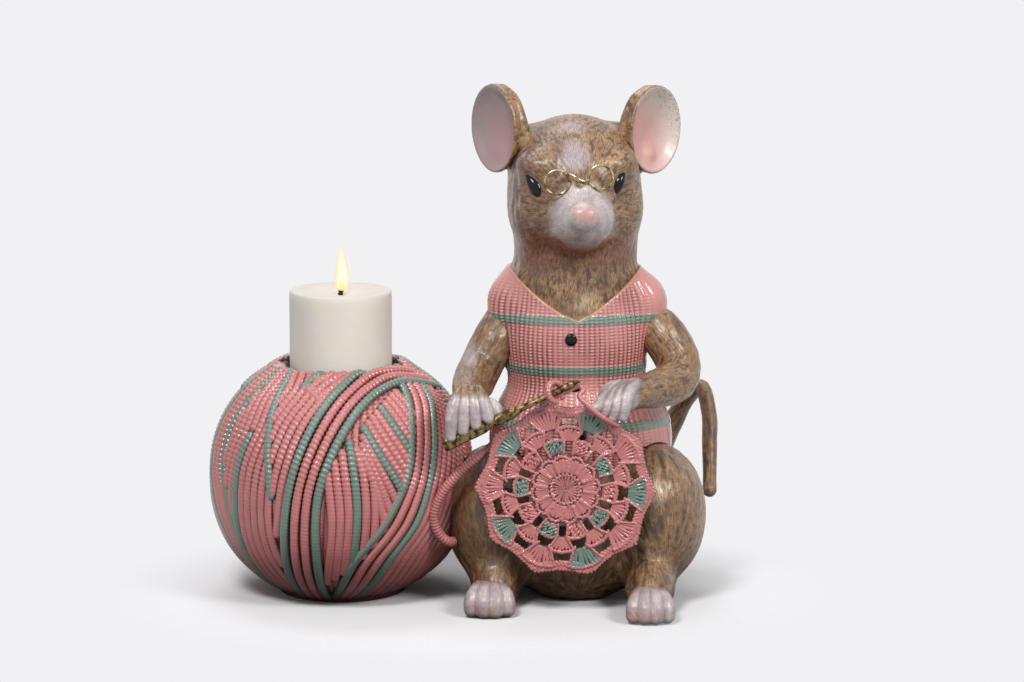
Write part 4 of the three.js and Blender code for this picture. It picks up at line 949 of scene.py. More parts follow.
for side, name, x, y, length, width in ((-1, "right_foot", -33.5, -40, 28, 20), (1, "left_foot", 28, -49, 30, 18.5)):
    shape, toes = foot(side, x, y, length, width)
    furred("mouse_" + name, shape, (x - 14, y - 18, -1), (x + 14, y + 22, 18), foot_flow, name, 0.45, 0.15,
           pale=lambda p, y=y: rise(p[:, 1] + 3 * noise(p, 4, 2), y, y - 6) * 0.95, slot="pale_fur_resin",
           # a painted highlight in violet grey across the top of the foot
           bloom=lambda p, y=y: 0.5 * rise(p[:, 1], y - 9, y - 5) * rise(p[:, 1], y + 3, y - 2),
           pink=lambda p: 0.55 * rise(p[:, 2], 9, 3) * rise(noise(p, 3.5, 4), 0.35, 0.6),
           # painted shade in the creases between the toes
           cleft=lambda p, toes=toes: 0.4 * between(toes)(p))

# %% Tail
TAIL = [[16, 30, 26, 5.5], [31, 40, 42, 5.2], [39.5, 40, 58, 4.4], [45.5, 37, 69, 3.26], [51, 31, 75, 3.1],
        [53.8, 24, 66, 3.1], [53.8, 16, 54, 3.1], [53.6, 10, 45, 2.8], [53.4, 5, 38.5, 2.8]]


def along_line(stations):
    """A flow along the nearest part of a line."""
    line = spline([s[:3] for s in stations], 60)
    ways = unit(np.gradient(line, axis=0))

    def flow(points):
        nearest = np.argmin(((points[:, None] - line[None]) ** 2).sum(axis=2), axis=1)
        return ways[nearest]

    return flow


furred("mouse_tail", lambda p: limb(p, TAIL, 40), (8, -1, 18), (60, 48, 82), along_line(TAIL), "tail", 0.5, 0.22)

# %% Arms and paws
HOOK_BUTT, HOOK_TIP = np.array([-50.93, -49.2, 67.81]), np.array([0.3, -49.2, 92.8])


def hook_height(x):
    """The height of the hook's middle line at a place along X."""
    share = (x - HOOK_BUTT[0]) / (HOOK_TIP[0] - HOOK_BUTT[0])
    return HOOK_BUTT[2] + share * (HOOK_TIP[2] - HOOK_BUTT[2])


RIGHT_ARM = [[-28, 7, 107, 7.6], [-31, 2, 101, 8.6], [-36.5, -2, 91, 8.4], [-39.5, -9, 85.5, 8.4], [-41, -22, 83.5, 7],
             [-41.6, -34, 82, 6]]
LEFT_ARM = [[29, 7, 106.5, 7.8], [34, 2, 102, 9], [40, -2, 92, 8.8], [39, -10, 86, 8.6], [31, -24, 85, 7.4],
            [23.5, -35, 85.5, 6]]
RIGHT_PALM, LEFT_PALM = np.array([-41, -43.5, 81.6]), np.array([15.5, -41, 85.2])
right_fingers, left_fingers = [], []
for k in range(4):
    s = -6 + 4 * k
    x, y, z = RIGHT_PALM
    right_fingers.append([[x + 0.62 * s, y - 2, z + 7.2, 1.9], [x + 0.85 * s, y - 5.4, z + 4, 2.6],
                          [x + 1.1 * s, y - 7.6, z - 1.5, 2.7],
                          [x + 1.2 * s, y - 8.4, hook_height(x + 1.2 * s) + 2.6, 2]])
    s = -5.5 + 3.6 * k
    x, y, z = LEFT_PALM
    drawn_up = max(0, 3.4 - 2.6 * k)  # the two inner fingers are bent further, behind the yarn
    left_fingers.append([[x + 4 + 0.6 * s, y - 1.5, z + 5.2, 1.9],
                         [x - 0.5 + 0.8 * s, y - 5.6, z + 1.5 + 0.2 * s, 2.5],
                         [x - 2.5 + 0.95 * s, y - 8.2, z - 2.6, 2.3],
                         [x - 4 + 1.1 * s, y - 8.4, z - 6.4 + drawn_up, 1.7]])
x, y, z = RIGHT_PALM
right_thumb = [[x + 5, y + 8, z - 1, 3], [x + 9.5, y + 5, z - 1, 2.6], [x + 11, y + 3, z - 5, 2]]
x, y, z = LEFT_PALM
left_thumb = [[x + 2, y + 4, z - 4, 3], [x - 0.5, y + 4.5, z - 6.5, 2.6], [x - 2, y + 5, z - 8, 2.2]]


def arm(stations, palm, size, fingers, thumb):
    """The distance to an arm with its paw."""
    def distance(points):
        hand = merge([lump(points, palm, size), limb(points, thumb, 6)], 1.2)
        hand = merge([hand] + [limb(points, finger, 9) for finger in fingers], 0.3)
        whole = merge([limb(points, stations, 14), hand], 1.6)
        share, gone = to_segment(points, HOOK_BUTT, HOOK_TIP)
        hook = gone - 2.5 + 0.7 * rise(share, 0.3, 0.6)
        return np.maximum.reduce([whole, 0.15 - hook, -doily_room(points)])
    return distance


furred("mouse_right_arm", arm(RIGHT_ARM, RIGHT_PALM, [7.8, 7.0, 7.0], right_fingers, right_thumb),
       (-53, -57, 68), (-17, 17, 117), along_line(RIGHT_ARM), "right_arm", 0.45, hair=0.6,
       pale=lambda p: rise(p[:, 1] + 2.5 * noise(p, 3.5, 2), -33, -36.5) * rise(p[:, 2] + 3 * noise(p, 3, 5), 90, 87),
       # painted shade in the creases between the fingers, and shade on the outer side of the arm
       cleft=lambda p: 0.7 * between(right_fingers)(p), shade=lambda p: 0.35 * rise(p[:, 0], -28, -38),
       # a painted highlight in violet grey on the outer side of the upper arm
       bloom=lambda p: 0.6 * rise(lump(p, [-42, -8, 96], [3, 6, 5]), 3, -2))
furred("mouse_left_arm", arm(LEFT_ARM, LEFT_PALM, [7.6, 6.8, 6.4], left_fingers, left_thumb),
       (-3, -56, 70), (52, 19, 118), along_line(LEFT_ARM), "left_arm", 0.45, hair=0.6,
       pale=lambda p: rise(p[:, 0] + 0.3 * p[:, 1] + 3 * noise(p, 3.5, 2), 15, 11),
       # painted shade in the creases between the fingers
       cleft=lambda p: 0.7 * between(left_fingers)(p))

# %% Torso, vest and neckline
TORSO = [([0, 6, 100], [28.5, 23, 32]), ([2.5, 6, 60], [36, 29, 32]), ([-24.5, 6, 113.5], [9.5, 10, 11]),
         ([26.5, 6, 113.5], [9.5, 10, 11]), ([-0.8, 8, 123.5], [26, 21, 17])]
SPINE = 6  # mm, where the middle of the torso is along Y
COLLAR, HEM = 128.5, 40


def torso(points):
    return clay(points, TORSO)


def bezier(a, b, c, count=24):
    t = np.linspace(0, 1, count)[:, None]
    return (1 - t) ** 2 * np.array(a) + 2 * t * (1 - t) * np.array(b) + t ** 2 * np.array(c)


NECK_APEX, NECK_SIDE = (0.5, 109.9), 27.5
neck_right = bezier((-NECK_SIDE, 130.5), (-14, 115.5), NECK_APEX)
neck_left = bezier(NECK_APEX, (13, 115.5), (NECK_SIDE, 130.5))
neckline = np.concatenate([neck_right, neck_left[1:]])


def in_neckline(points):
    """About how far points are outside the V of the neckline, in front of the shoulders."""
    edge = np.interp(points[:, 0], neckline[:, 0], neckline[:, 1])
    steep = np.interp(points[:, 0], neckline[:, 0], np.gradient(neckline[:, 1], neckline[:, 0]))
    below = (edge - points[:, 2]) / np.sqrt(1 + steep ** 2)
    return np.maximum(below, points[:, 1] - SPINE)


# %% The head, with the fur of the chest
HEAD = [([0, 0, 0], [25.2, 27, 26]), ([-15, -8, -11], [10, 13, 12]), ([15, -8, -11], [10, 13, 12]),
        ([1, 2, -26], [23.5, 20, 24]), ([0.5, -24.5, -12], [12.6, 16.5, 11.4]), ([0, -21, 0], [6.5, 11, 6]),
        ([0.5, -41.5, -8], [4.6, 2.4, 3.4]), ([-14, -16, 9], [8, 7, 4]), ([14, -16, 9], [8, 7, 4]),
        ([-18, 9, 12], [7, 7, 8]), ([19, 9, 13], [8, 7, 8]), ([0.5, 2, -40], [22, 14, 14])]
NOSE_KNOB = ([-0.4, -32.0, 3.0], [1.8, 1.9, 1.7])
HEAD_AT, HEAD_TURN = np.array([-0.7, 6, 162]), 4  # mm and degrees


def turning(axis, degrees):
    """The matrix that turns points about Y or Z."""
    c, s = math.cos(math.radians(degrees)), math.sin(math.radians(degrees))
    return np.array([[c, 0, s], [0, 1, 0], [-s, 0, c]] if axis == "y" else [[c, -s, 0], [s, c, 0], [0, 0, 1]])


TURN = turning("z", HEAD_TURN)


def from_head(points):
    return points @ TURN.T + HEAD_AT


def to_head(points):
    return (points - HEAD_AT) @ TURN


def head(points):
    own = merge([clay(to_head(points), HEAD), lump(to_head(points), *NOSE_KNOB)], 0.5)
    chest = np.maximum(torso(points) + 1.2, in_neckline(points) - 0.6)
    return merge([own, chest], 1.0)


def head_flow(points):
    """Hair runs from the nose back over the face, and down the neck."""
    own = to_head(points)
    away = unit(own - (0, -44, -6))
    down = np.array([0, -0.15, -1.0])
    return away + down * (2.2 * rise(own[:, 2], -14, -30))[:, None]


def on_muzzle(points):
    own = to_head(points)
    blot = 2.0 * (noise(own, 4.0, 6) - 0.5)
    return rise(lump(own, [0.5, -33, -9], [12, 14, 12.5]) + blot, 2.2, -2.2) * rise(lump(own, *NOSE_KNOB), 0.2, 0.9)


def on_nose(points):
    own = to_head(points)
    blot = 1.2 * (noise(own, 2.0, 8) - 0.5)
    return 0.8 * rise(lump(own, [0.8, -42.5, -7.2], [4.8, 3.6, 3.2]) + blot, 1.2, -1.2)


# Painted highlights on the forehead and the crown, and painted reflections in streaks down the right side of the face
def on_forehead(points):
    own = to_head(points)
    high = rise(lump(own, [-1.5, -22, 12.5], [5, 9, 6]), 3, -2.5)
    crown = 0.45 * rise(lump(own, [-1, -16, 24], [5, 6, 3]), 3, -2)
    streak = rise(own[:, 0], -16, -21) * rise(own[:, 1], 6, -2) * rise(noise(own * (1, 1, 0.25), 1.8, 12), 0.5, 0.62)
    return 0.8 * np.maximum.reduce([high, crown, 0.8 * streak])


def on_throat(points):
    own = to_head(points)
    return 0.45 * rise(own[:, 2], -15, -21) * rise(own[:, 2], -38, -27) * rise(own[:, 1], -4, -12)


def in_shade(points):
    own = to_head(points)
    left = 0.4 * rise(own[:, 0], 0, -22)
    return left + 0.35 * rise(noise(own, 9.0, 2), 0.45, 0.7) * rise(own[:, 0], 12, -6)


furred("mouse_head", head, (-34, -42, 104), (34, 36, 192), head_flow, "head", 0.5, 0.16, shade=in_shade,
       pale=on_muzzle, pink=on_nose, bloom=on_forehead, blush=on_throat, hair=0.5, length=2.2, size=0.9,
       # a painted warm highlight on the chest
       cream=lambda p: 0.85 * rise(lump(p, [4.5, -22, 118], [5, 8, 6]), 4, -2))


# %% Vest
def vest(points):
    """The torso between the hem and the collar, without the neckline, the head and the lower body."""
    return np.maximum.reduce([torso(points), points[:, 2] - COLLAR, -in_neckline(points), HEM - points[:, 2],
                              -(clay(to_head(points), HEAD) - 0.3), -(clay(points, LOWER) - 0.3)])


# The way round the torso at the height of the waist, measured outwards from the spine at every degree
turns = np.radians(np.linspace(-90, 270, 361))
round_line = np.stack([np.cos(turns), np.sin(turns)], axis=1)
ring_radius = np.zeros(len(turns))
for step in (8, 4, 2, 1, 0.5, 0.25):
    while True:
        test = np.insert((ring_radius + step)[:, None] * round_line + (0, SPINE), 2, 90, axis=1)
        free = torso(test) < 0
        if not free.any():
            break
        ring_radius += step * free
ring_steps = np.linalg.norm(np.diff(ring_radius[:, None] * round_line, axis=0), axis=1)
ring_along = np.concatenate([[0], np.cumsum(ring_steps)])
WALE, COURSE = 2.05, 1.25  # mm, width and height of a stitch
wales = round(ring_along[-1] / WALE)
print(f"vest: {ring_along[-1]:.0f} mm round, {wales} wales, courses {COURSE} mm high")

points, quads, normal = skin(vest, (-42, -28, 38), (46, 42, 131), 0.42)
turn = (np.degrees(np.arctan2(points[:, 1] - SPINE, points[:, 0])) + 90) % 360
wale = np.interp(turn, np.arange(361), ring_along) / ring_along[-1] * wales
ribs = 0.5 + 0.5 * np.cos(2 * np.pi * wale)
courses = 0.5 + 0.5 * np.cos(2 * np.pi * (points[:, 2] / COURSE + 0.5 * (np.floor(wale + 0.5) % 2)))

# The green ribbons sag a little at the sides, and the neckline has a bead along its edge
RIBBONS, RIBBON_WIDTH = (110.8, 90.8, 69.9), 3.5
sag = -0.001 * np.square(points[:, 0])
ribbon = np.zeros(len(points))
for height in RIBBONS:
    off = np.abs(points[:, 2] - height - sag + 0.6)
    ribbon = np.maximum(ribbon, rise(off, RIBBON_WIDTH / 2 + 0.25, RIBBON_WIDTH / 2 - 0.25))
edge_near = rise(in_neckline(points), 1.4, 0.7) * (points[:, 1] < 4)

# The knitting is crisp on the front and worn smooth over the shoulders
crisp = rise(points[:, 2] + 0.35 * np.abs(points[:, 0]), 136, 126) * rise(points[:, 0], 33, 22)
crisp = (0.2 + 0.8 * crisp) * (0.65 + 0.35 * rise(noise(points, 9, 5), 0.3, 0.6)) * (1 - edge_near)
lift = 0.6 * ribs ** 1.3 * (0.75 + 0.5 * courses) * crisp + 0.3 * ribbon + 0.3 * edge_near
shown = points + normal * (lift - 0.2)[:, None]

# Painted knitting under gloss varnish: pink ribs with glints, a red between them that is partly wash and partly
# painted shade, and fine rows of stitches
knit, tree, shader = varnished("painted_resin_knit")
wash_and_shade = ramp(tree, mark(tree, "groove"), 0.3, 1.1)
pink = blend(tree, wash_and_shade, blend(tree, cloud(tree, 11.0), "#cb827c", "#d8938c"), "#8f4b4a")
green = blend(tree, wash_and_shade, "#7b907f", "#53665a")
colour = blend(tree, mark(tree, "green"), pink, green)
colour = blend(tree, mark(tree, "ochre"), colour, "#b98f5c")
tree.links.new(colour, shader.inputs["Base Color"])
WAVE_ROUND = math.pi / 10  # one wave of the texture is this long at scale 1
place = add(tree, "ShaderNodeTexCoord").outputs["Object"]
wave = add(tree, "ShaderNodeTexWave", {"Vector": place}, bands_direction="Z", Scale=WAVE_ROUND / (COURSE * MM),
           Distortion=0.6)
height = add(tree, "ShaderNodeMath", {0: wave.outputs["Fac"], 1: mark(tree, "worn")}, operation="MULTIPLY")
relief(tree, shader, height.outputs[0], 0.16)
piece("mouse_vest", shown + MOUSE, quads.tolist(), knit, stands_for=("vest",),
      marks={"groove": np.clip((1 - ribs) * crisp, 0, 1), "green": ribbon, "worn": np.clip(crisp, 0, 1),
             "ochre": rise(in_neckline(points), 0.35, 0.15) * (points[:, 1] < 5.5)})

# %% [markdown]
# ## Ears
#
# Each ear is a thin dish with a rolled rim, and its inner side folds over towards the head. The hollow is
# painted pink and fades to grey white at the rim, and the fold and the back are fur.

# %% Ears
EAR_HALF_WIDTH, EAR_HALF_HEIGHT, EAR_THICK, EAR_DISH = 15, 17.3, 2.4, 5.5
# For the right and the left ear: how far it leans and opens in degrees, and its middle in the head's frame
EAR_LEAN, EAR_OPEN = {-1: -4, 1: 4}, {-1: -59, 1: 43}
EAR_AT = {-1: np.array([-29.7, 4, 20.5]), 1: np.array([30.9, 4, 19.5])}


def ear_turn(side):
    return turning("z", EAR_OPEN[side]) @ turning("y", EAR_LEAN[side])


def ear_parts(side):
    """The distance to an ear in the head's frame, and how far out in the dish points are (1 at the rim)."""
    turn = ear_turn(side)
    fold = [[-side * 3.5, 1.2, 15.6, 1.2], [-side * 9.6, 2.0, 12.0, 1.4], [-side * 12.6, 2.8, 5, 1.7],
            [-side * 13.6, 3.6, -3, 2.1], [-side * 13.6, 4.4, -10, 2.5]]
    root = [[side * 27 + 1.2, 9.5, 11, 2.2], [side * 23.4 + 1.2, 8, 7, 3.2], [side * 17 + 1.2, 6, 4, 4.2]]
    lobe = [[side * 27 + 1.2, 5.5, 9, 3.2], [side * 22 + 1.2, 3.5, 3, 3.0]]

    def out(points):
        own = (points - EAR_AT[side]) @ turn
        return np.hypot(own[:, 0] / EAR_HALF_WIDTH, own[:, 2] / EAR_HALF_HEIGHT), own

    def distance(points):
        share, own = out(points)
        middle = EAR_DISH * (1 - np.minimum(share, 1.15) ** 2) - 1.5
        half = EAR_THICK / 2 * (0.62 + 0.38 * rise(share, 0.7, 0.97))
        beyond = np.maximum((share - 1) * 15.8 + half, 0)
        dish = np.hypot(beyond, 0.86 * (own[:, 1] - middle)) - half
        return merge([dish, limb(own, fold, 10), limb(points, root, 5), limb(points, lobe, 4)], 1.3)

    return distance, out


def ear_piece(name, side):
    distance, out = ear_parts(side)

    def hollow(points):
        share, own = out(points)
        front = rise(own[:, 1] - EAR_DISH * (1 - np.minimum(share, 1.1) ** 2) + 1.5, 0.3, -0.2)
        return front * rise(-side * own[:, 0] / EAR_HALF_WIDTH, 0.86, 0.74) * rise(share, 1.0, 0.955)

    low, high = (side * 31 - 21, -16, -4), (side * 31 + 21, 24, 41)
    points, quads, normal = skin(distance, low, high, 0.45)
    share, own = out(points)
    flow = own @ np.diag([1, 0, 1]) @ ear_turn(side).T  # hair runs outwards from the middle of the dish
    comb = strokes(points, normal, flow, 0.8, 4.5)
    inner = hollow(points)
    shown = points - normal * (0.2 * (comb - 0.35) * (1 - 0.75 * inner))[:, None]
    deep = np.hypot(own[:, 0] + 6 * side, own[:, 2] + 5) / EAR_HALF_WIDTH
    marks = {"groove": comb, "hollow": inner, "out": deep, "shaded": np.full(len(points), float(side < 0)),
             "flow": unit(across(flow, normal))}
    return piece("mouse_" + name, from_head(shown) + MOUSE, quads.tolist(), ear_paint,
                 stands_for=(name,), marks=marks)


# The hollow is half matt skin: pink deep in the dish, beige with grey specks at the rim. The right ear is turned
# from the key light and painted more lilac.
ear_paint, tree, shader = varnished("painted_resin_ear", roughness=0.45, coat=0.5, coat_roughness=0.25)
relief(tree, shader, cloud(tree, 0.5), 0.03)
outer, stroke = fur_colours(tree)
out = mark(tree, "out")
bare = blend(tree, ramp(tree, out, 0.45, 1.45), "#dca79e", "#d5cabf")
lilac = blend(tree, ramp(tree, out, 0.35, 1.5), "#b48d91", "#a29493")
bare = blend(tree, mark(tree, "shaded"), bare, lilac)
bare = blend(tree, stroke, blend(tree, 0.13, bare, "#6f5a54"), bare)
specks = add(tree, "ShaderNodeMath", {0: ramp(tree, cloud(tree, 0.7), 0.45, 0.37), 1: ramp(tree, out, 0.9, 1.6)},
             operation="MULTIPLY")
bare = blend(tree, specks.outputs[0], bare, "#8d857c")
tree.links.new(blend(tree, mark(tree, "hollow"), outer, bare), shader.inputs["Base Color"])
ear_piece("right_ear", -1)
ear_piece("left_ear", 1)

# %% [markdown]
# ## Eyes, buttons and other small black things
#
# The eyes are slanted leaves of black lacquer, very smooth, so they mirror the soft boxes.

# %% Eyes
# Black lacquer is smooth and mirrors the soft boxes as small sharp glints. The eyes sit in hollows, where less
# light arrives, so their reflection is weaker than the IOR alone gives.
lacquer, _, _ = principled("black_lacquer", Base_Color=linear("#0c0a09"), Roughness=0.12, IOR=VARNISH_IOR,
                           Specular_IOR_Level=0.3)
EYE_SUNK = 1.2  # mm, how deep the middle of an eye lies in the head
sphere = [[max(0, math.cos(math.radians(a))), math.sin(math.radians(a))] for a in np.linspace(-90, 90, 20)]
for name, tilt, facing, size, middle in (("right_eye", -36, -38, (3.0, 3.2, 6.2), (-16.8, -18.0, 1.6)),
                                         ("left_eye", 26, 38, (2.6, 3.2, 5.6), (14.8, -18.0, 2.6))):
    points, faces = lathe(sphere, 32)
    points = points * size
    points[:, 0] *= 1 - 0.3 * rise(points[:, 2], -1, 5.6)
    points = points @ turning("y", tilt).T @ turning("z", facing).T
    middle = np.array(middle)
    while clay(middle[None], HEAD)[0] <= -EYE_SUNK:
        middle[1] -= 0.3
    piece("mouse_" + name, from_head(points + middle) + MOUSE, faces, lacquer, stands_for=(name,))

# %% Buttons
BUTTON = [[0, -1.6], [2.3, -1.6], [2.4, -0.4], [2.4, 0.35], [2.25, 0.7], [1.9, 0.95], [1.4, 1.1], [0.7, 1.15],
          [0, 1.15]]
for i in range(3):
    x, y, z = -2 + 1.7 * i, -30.0, COLLAR - 25.6 - 18.4 * i
    while torso(np.array([[x, y, z]]))[0] > 0:
        y += 0.05
    points, faces = lathe(BUTTON, 40)
    points = points[:, [0, 2, 1]] * (1, -1, 1) + (x, y, z)
    piece(f"vest_button_{i + 1}", points + MOUSE, [face[::-1] for face in faces], lacquer,
          stands_for=(f"button_{i + 1}",))

# %% [markdown]
# ## Brass
#
# The spectacles are bent brass wire, and the hook is cast and painted as old brass: yellow brown metal with
# dark patches in its hollows. Brass is a metal, so it is fully metallic and the colour goes to its reflection.

# %% Brass pieces
def metal(name, bright, dark, smooth, rough, patch_mm):
    """Metal with a patina: dark rough patches on a brighter, smoother ground."""
    material, tree, shader = principled(name, Metallic=1.0)
    patina = ramp(tree, cloud(tree, patch_mm, 5.0), 0.4, 0.62)
    tree.links.new(blend(tree, patina, bright, dark), shader.inputs["Base Color"])
    roughness = add(tree, "ShaderNodeMapRange", {"Value": patina}, To_Min=smooth, To_Max=rough)
    tree.links.new(roughness.outputs[0], shader.inputs["Roughness"])
    relief(tree, shader, cloud(tree, 0.9), 0.06)
    return material


brass = metal("antique_brass", "#8a7550", "#3a2e20", 0.4, 0.65, 1.6)
wire_brass = metal("bent_brass_wire", "#c2b084", "#5c4c34", 0.25, 0.45, 3.0)

WIRE, RIM = 0.48, 4.65  # mm, the radius of the wire and of a rim
RIMS_OFF, RIMS_FRONT = -0.9, -32.8  # mm, where they stand in the head's frame
wires = []
circle = np.linspace(0, 2 * np.pi, 72)
for side in (-1, 1):
    rim = np.stack([RIMS_OFF + side * 8.4 + RIM * np.cos(circle), RIMS_FRONT + 0 * circle,
                    4.9 + 0.9 * side + RIM * np.sin(circle)], axis=1)
    wires.append(tube(rim, WIRE, np.tile([0.0, 1.0, 0.0], (len(circle), 1)), 10))
bridge = [[-3.9, RIMS_FRONT, 7.0], [-2.4, -33.6, 6.7], [-0.6, -34.4, 5.6], [1.0, -34.4, 4.7], [2.6, -33.8, 4.5],
          [3.9, RIMS_FRONT, 5.0]]
wires.append(tube(spline(bridge, 30) + (RIMS_OFF, 0, 0), WIRE, sides=10))
prong = [[0.7, -34.4, 4.8], [0.5, -30, 3.9], [0.3, -26, 3.4]]
wires.append(tube(spline(prong, 12), WIRE, sides=10))
points, faces = joined(wires)
piece("mouse_spectacles", from_head(points) + MOUSE, faces, wire_brass, stands_for=("spectacles",))

# Pairs of [mm from the butt, radius]: a square grip, a collar, a thin shaft and the tip
HOOK_PROFILE = [(0, 2.3), (1, 2.5), (17, 2.5), (19, 2.0), (21, 1.9), (24, 2.35), (29, 2.2), (33, 1.25), (46, 1.05),
                (51, 1.45), (55, 1.2), (57, 0.5)]
HOOK_LENGTH = HOOK_PROFILE[-1][0]


def hook(points):
    """The distance to the hook, with a rough grip and a notch near the tip."""
    along = unit(HOOK_TIP - HOOK_BUTT)
    far = (points - HOOK_BUTT) @ along
    off = points - HOOK_BUTT - far[:, None] * along
    up = np.cross(along, (0, 1, 0))
    width, height = np.abs(off[:, 1]), np.abs(off @ up)
    power = 2 + 1.6 * rise(far, 20, 16)  # 2 is round, and more is squarer
    gone = (width ** power + height ** power) ** (1 / power)
    radius = np.interp(far, *np.array(HOOK_PROFILE).T)
    rough_part = 0.4 * (noise(points, 2.2, 5) - 0.5) * (0.35 + rise(np.abs(far - 25), 8, 3))
    body = np.maximum(gone - radius + rough_part, np.maximum(-far, far - HOOK_LENGTH))
    notch = lump(points, HOOK_BUTT + along * 51.5 + up * -1.6, [1.9, 2.6, 1.1])
    return np.maximum(body, -notch)


points, quads, normal = skin(hook, (-55, -53, 63), (3, -45, 96), 0.35)
piece("crochet_hook_brass", points + MOUSE, quads.tolist(), brass, stands_for=("crochet_hook",))

# %% [markdown]
# ## The doily
#
# Crochet works in rounds from the middle: each round is made of stitches into the round before. Every stitch is
# a short rounded capsule here, about as thick as a strand. They are stamped into one distance field over a thin
# sheet with openings, and one net is drawn round it all, so it is a single casting as on the real figure.

# %% Stamping stitches
DOILY_CELL = 0.27
doily_low = np.array([-36.5, -36.5, -0.6])
doily_count = np.ceil((np.array([36.5, 36.5, 3.4]) - doily_low) / DOILY_CELL).astype(int)
axes = [doily_low[i] + DOILY_CELL * np.arange(doily_count[i]) for i in range(3)]
doily_field = np.full(doily_count, 9.0)
by_hand = np.random.default_rng(4)  # small seeded misfits, as every stitch is a little different


def stamp(a, b, radius_a, radius_b=None):
    """Joins a capsule from a to b to the field. The third number is the height above the doily's back."""
    a, b = np.array(a, float) + by_hand.normal(0, 0.07, 3), np.array(b, float) + by_hand.normal(0, 0.07, 3)
    radius_b = radius_a if radius_b is None else radius_b
    margin = max(radius_a, radius_b) + 2.5 * DOILY_CELL
    first = np.maximum(((np.minimum(a, b) - margin - doily_low) / DOILY_CELL).astype(int), 0)
    last = np.minimum(((np.maximum(a, b) + margin - doily_low) / DOILY_CELL).astype(int) + 1, doily_count)
    part = tuple(slice(first[i], last[i]) for i in range(3))
    grid = np.stack(np.meshgrid(*[axes[i][part[i]] for i in range(3)], indexing="ij"), axis=-1)
    share, gone = to_segment(grid, a, b)
    doily_field[part] = np.minimum(doily_field[part], gone - radius_a - share * (radius_b - radius_a))


def at(radius, degrees, height=1.25):
    angle = math.radians(degrees)
    return [radius * math.cos(angle), radius * math.sin(angle), height]


def outline(degrees):
    """How far the doily's edge is from its middle: points with shallow dips between."""
    return DOILY_RADIUS * (1 - 0.085 * np.abs(np.sin(np.radians(degrees + 2) * 5)))


def rope(radius_at, first, last, pitch, thick, slant, height=1.25, reach=0.8):
    """A row of slanted knots along a curve given by its radius at each angle."""
    angles = np.linspace(first, last, 400)
    spots = np.array([at(radius_at(a), a, height) for a in angles])
    spots, _ = even(spots, pitch)
    for i in range(len(spots) - 1):
        along = unit(spots[i + 1] - spots[i])
        sideways = np.array([-along[1], along[0], 0])
        half = (along * reach + sideways * slant) * 0.5 * pitch
        middle = (spots[i] + spots[i + 1]) / 2
        stamp(middle - half, middle + half, thick)


def fan(degrees, inner, outer, spread_in, spread_out, ridges, thick_in, thick_out, crown=0.0):
    """Stitches side by side that spread out from a narrow end."""
    for i in range(ridges):
        share = i / (ridges - 1) - 0.5
        end = outer - crown * (2 * share) ** 2
        a = at(inner, degrees + share * spread_in, 1.3)
        b = at(end, degrees + share * spread_out, 1.35)
        stamp(a, b, thick_in, thick_out)


def border(degrees, inner, outer, half_in, half_out, thick=0.52, crown=1.2, height=1.75):
    """A knotted cord round a fan: up both sides and over its top."""
    for sign in (-1, 1):
        ends = np.array([at(inner, degrees + sign * half_in, height), at(outer, degrees + sign * half_out, height)])
        knots, _ = even(ends, 1.25)
        for p, q in zip(knots[:-1], knots[1:]):
            stamp(p + (q - p) * 0.15, q - (q - p) * 0.15 + (0, 0, 0.12), thick)
    over = lambda a: outer + crown * (1 - ((a - degrees) / half_out) ** 2)
    rope(over, degrees - half_out, degrees + half_out, 1.25, thick, 0.5, height)


# %% The rounds of the doily
POINTS = 10
SECTOR = 360 / POINTS
FAN_TURN, SHELL_TURN = -3, -4
for k in range(24):
    stamp(at(0.5 if k % 2 else 1.8, 15 * k), at(5.2, 15 * k), 0.34, 0.52)
    stamp(at(5.5, 15 * k + 4, 1.5), at(5.9, 15 * k + 9, 1.5), 0.5)
for k in range(12):
    fan(30 * k + 8, 6.6, 11.6, 14, 17, 4, 0.36, 0.58, 0.5)
    border(30 * k + 8, 6.8, 11.9, 13.0, 13.5, 0.5, 1.3, 1.5)
for k in range(POINTS):
    here = SECTOR * k + SHELL_TURN
    fan(here, 14.4, 18.4, 14, 20, 5, 0.5, 0.66, 0.8)
    for i in range(4):
        for j in range(3):
            turn_by, out = here - 6.5 + 6.5 * j + 1.6 * i, 15.0 + 1.05 * i
            stamp(at(out, turn_by, 1.85), at(out + 0.7, turn_by - 1.8, 1.95), 0.42)
    border(here, 13.8, 18.6, 10.5, 12.5, 0.52, 1.1)
    fan(here + SECTOR / 2, 19.2, 23.4, 7, 16, 6, 0.45, 0.64, 0.6)
    border(here + SECTOR / 2, 19.0, 23.8, 6.0, 11.5, 0.55, 0.9)
    here = SECTOR * k + FAN_TURN
    fan(here, 24.2, 30.6, 11, 21, 8, 0.45, 0.68, 0.9)
    border(here, 22.6, 30.2, 5.0, 13.0, 0.5, 1.2)
rope(lambda a: outline(a) - 1.05, -2, 358, 1.35, 0.82, 0.95, 1.0, 0.7)
rope(lambda a: outline(a) - 2.75, -2, 358, 1.35, 0.72, -0.95, 1.25, 0.7)


def in_sector(angle, turn_at):
    """Which sector an angle is in, and how many degrees it is off that sector's middle."""
    number, off = np.divmod(angle - turn_at + SECTOR / 2, SECTOR)
    return number, off - SECTOR / 2


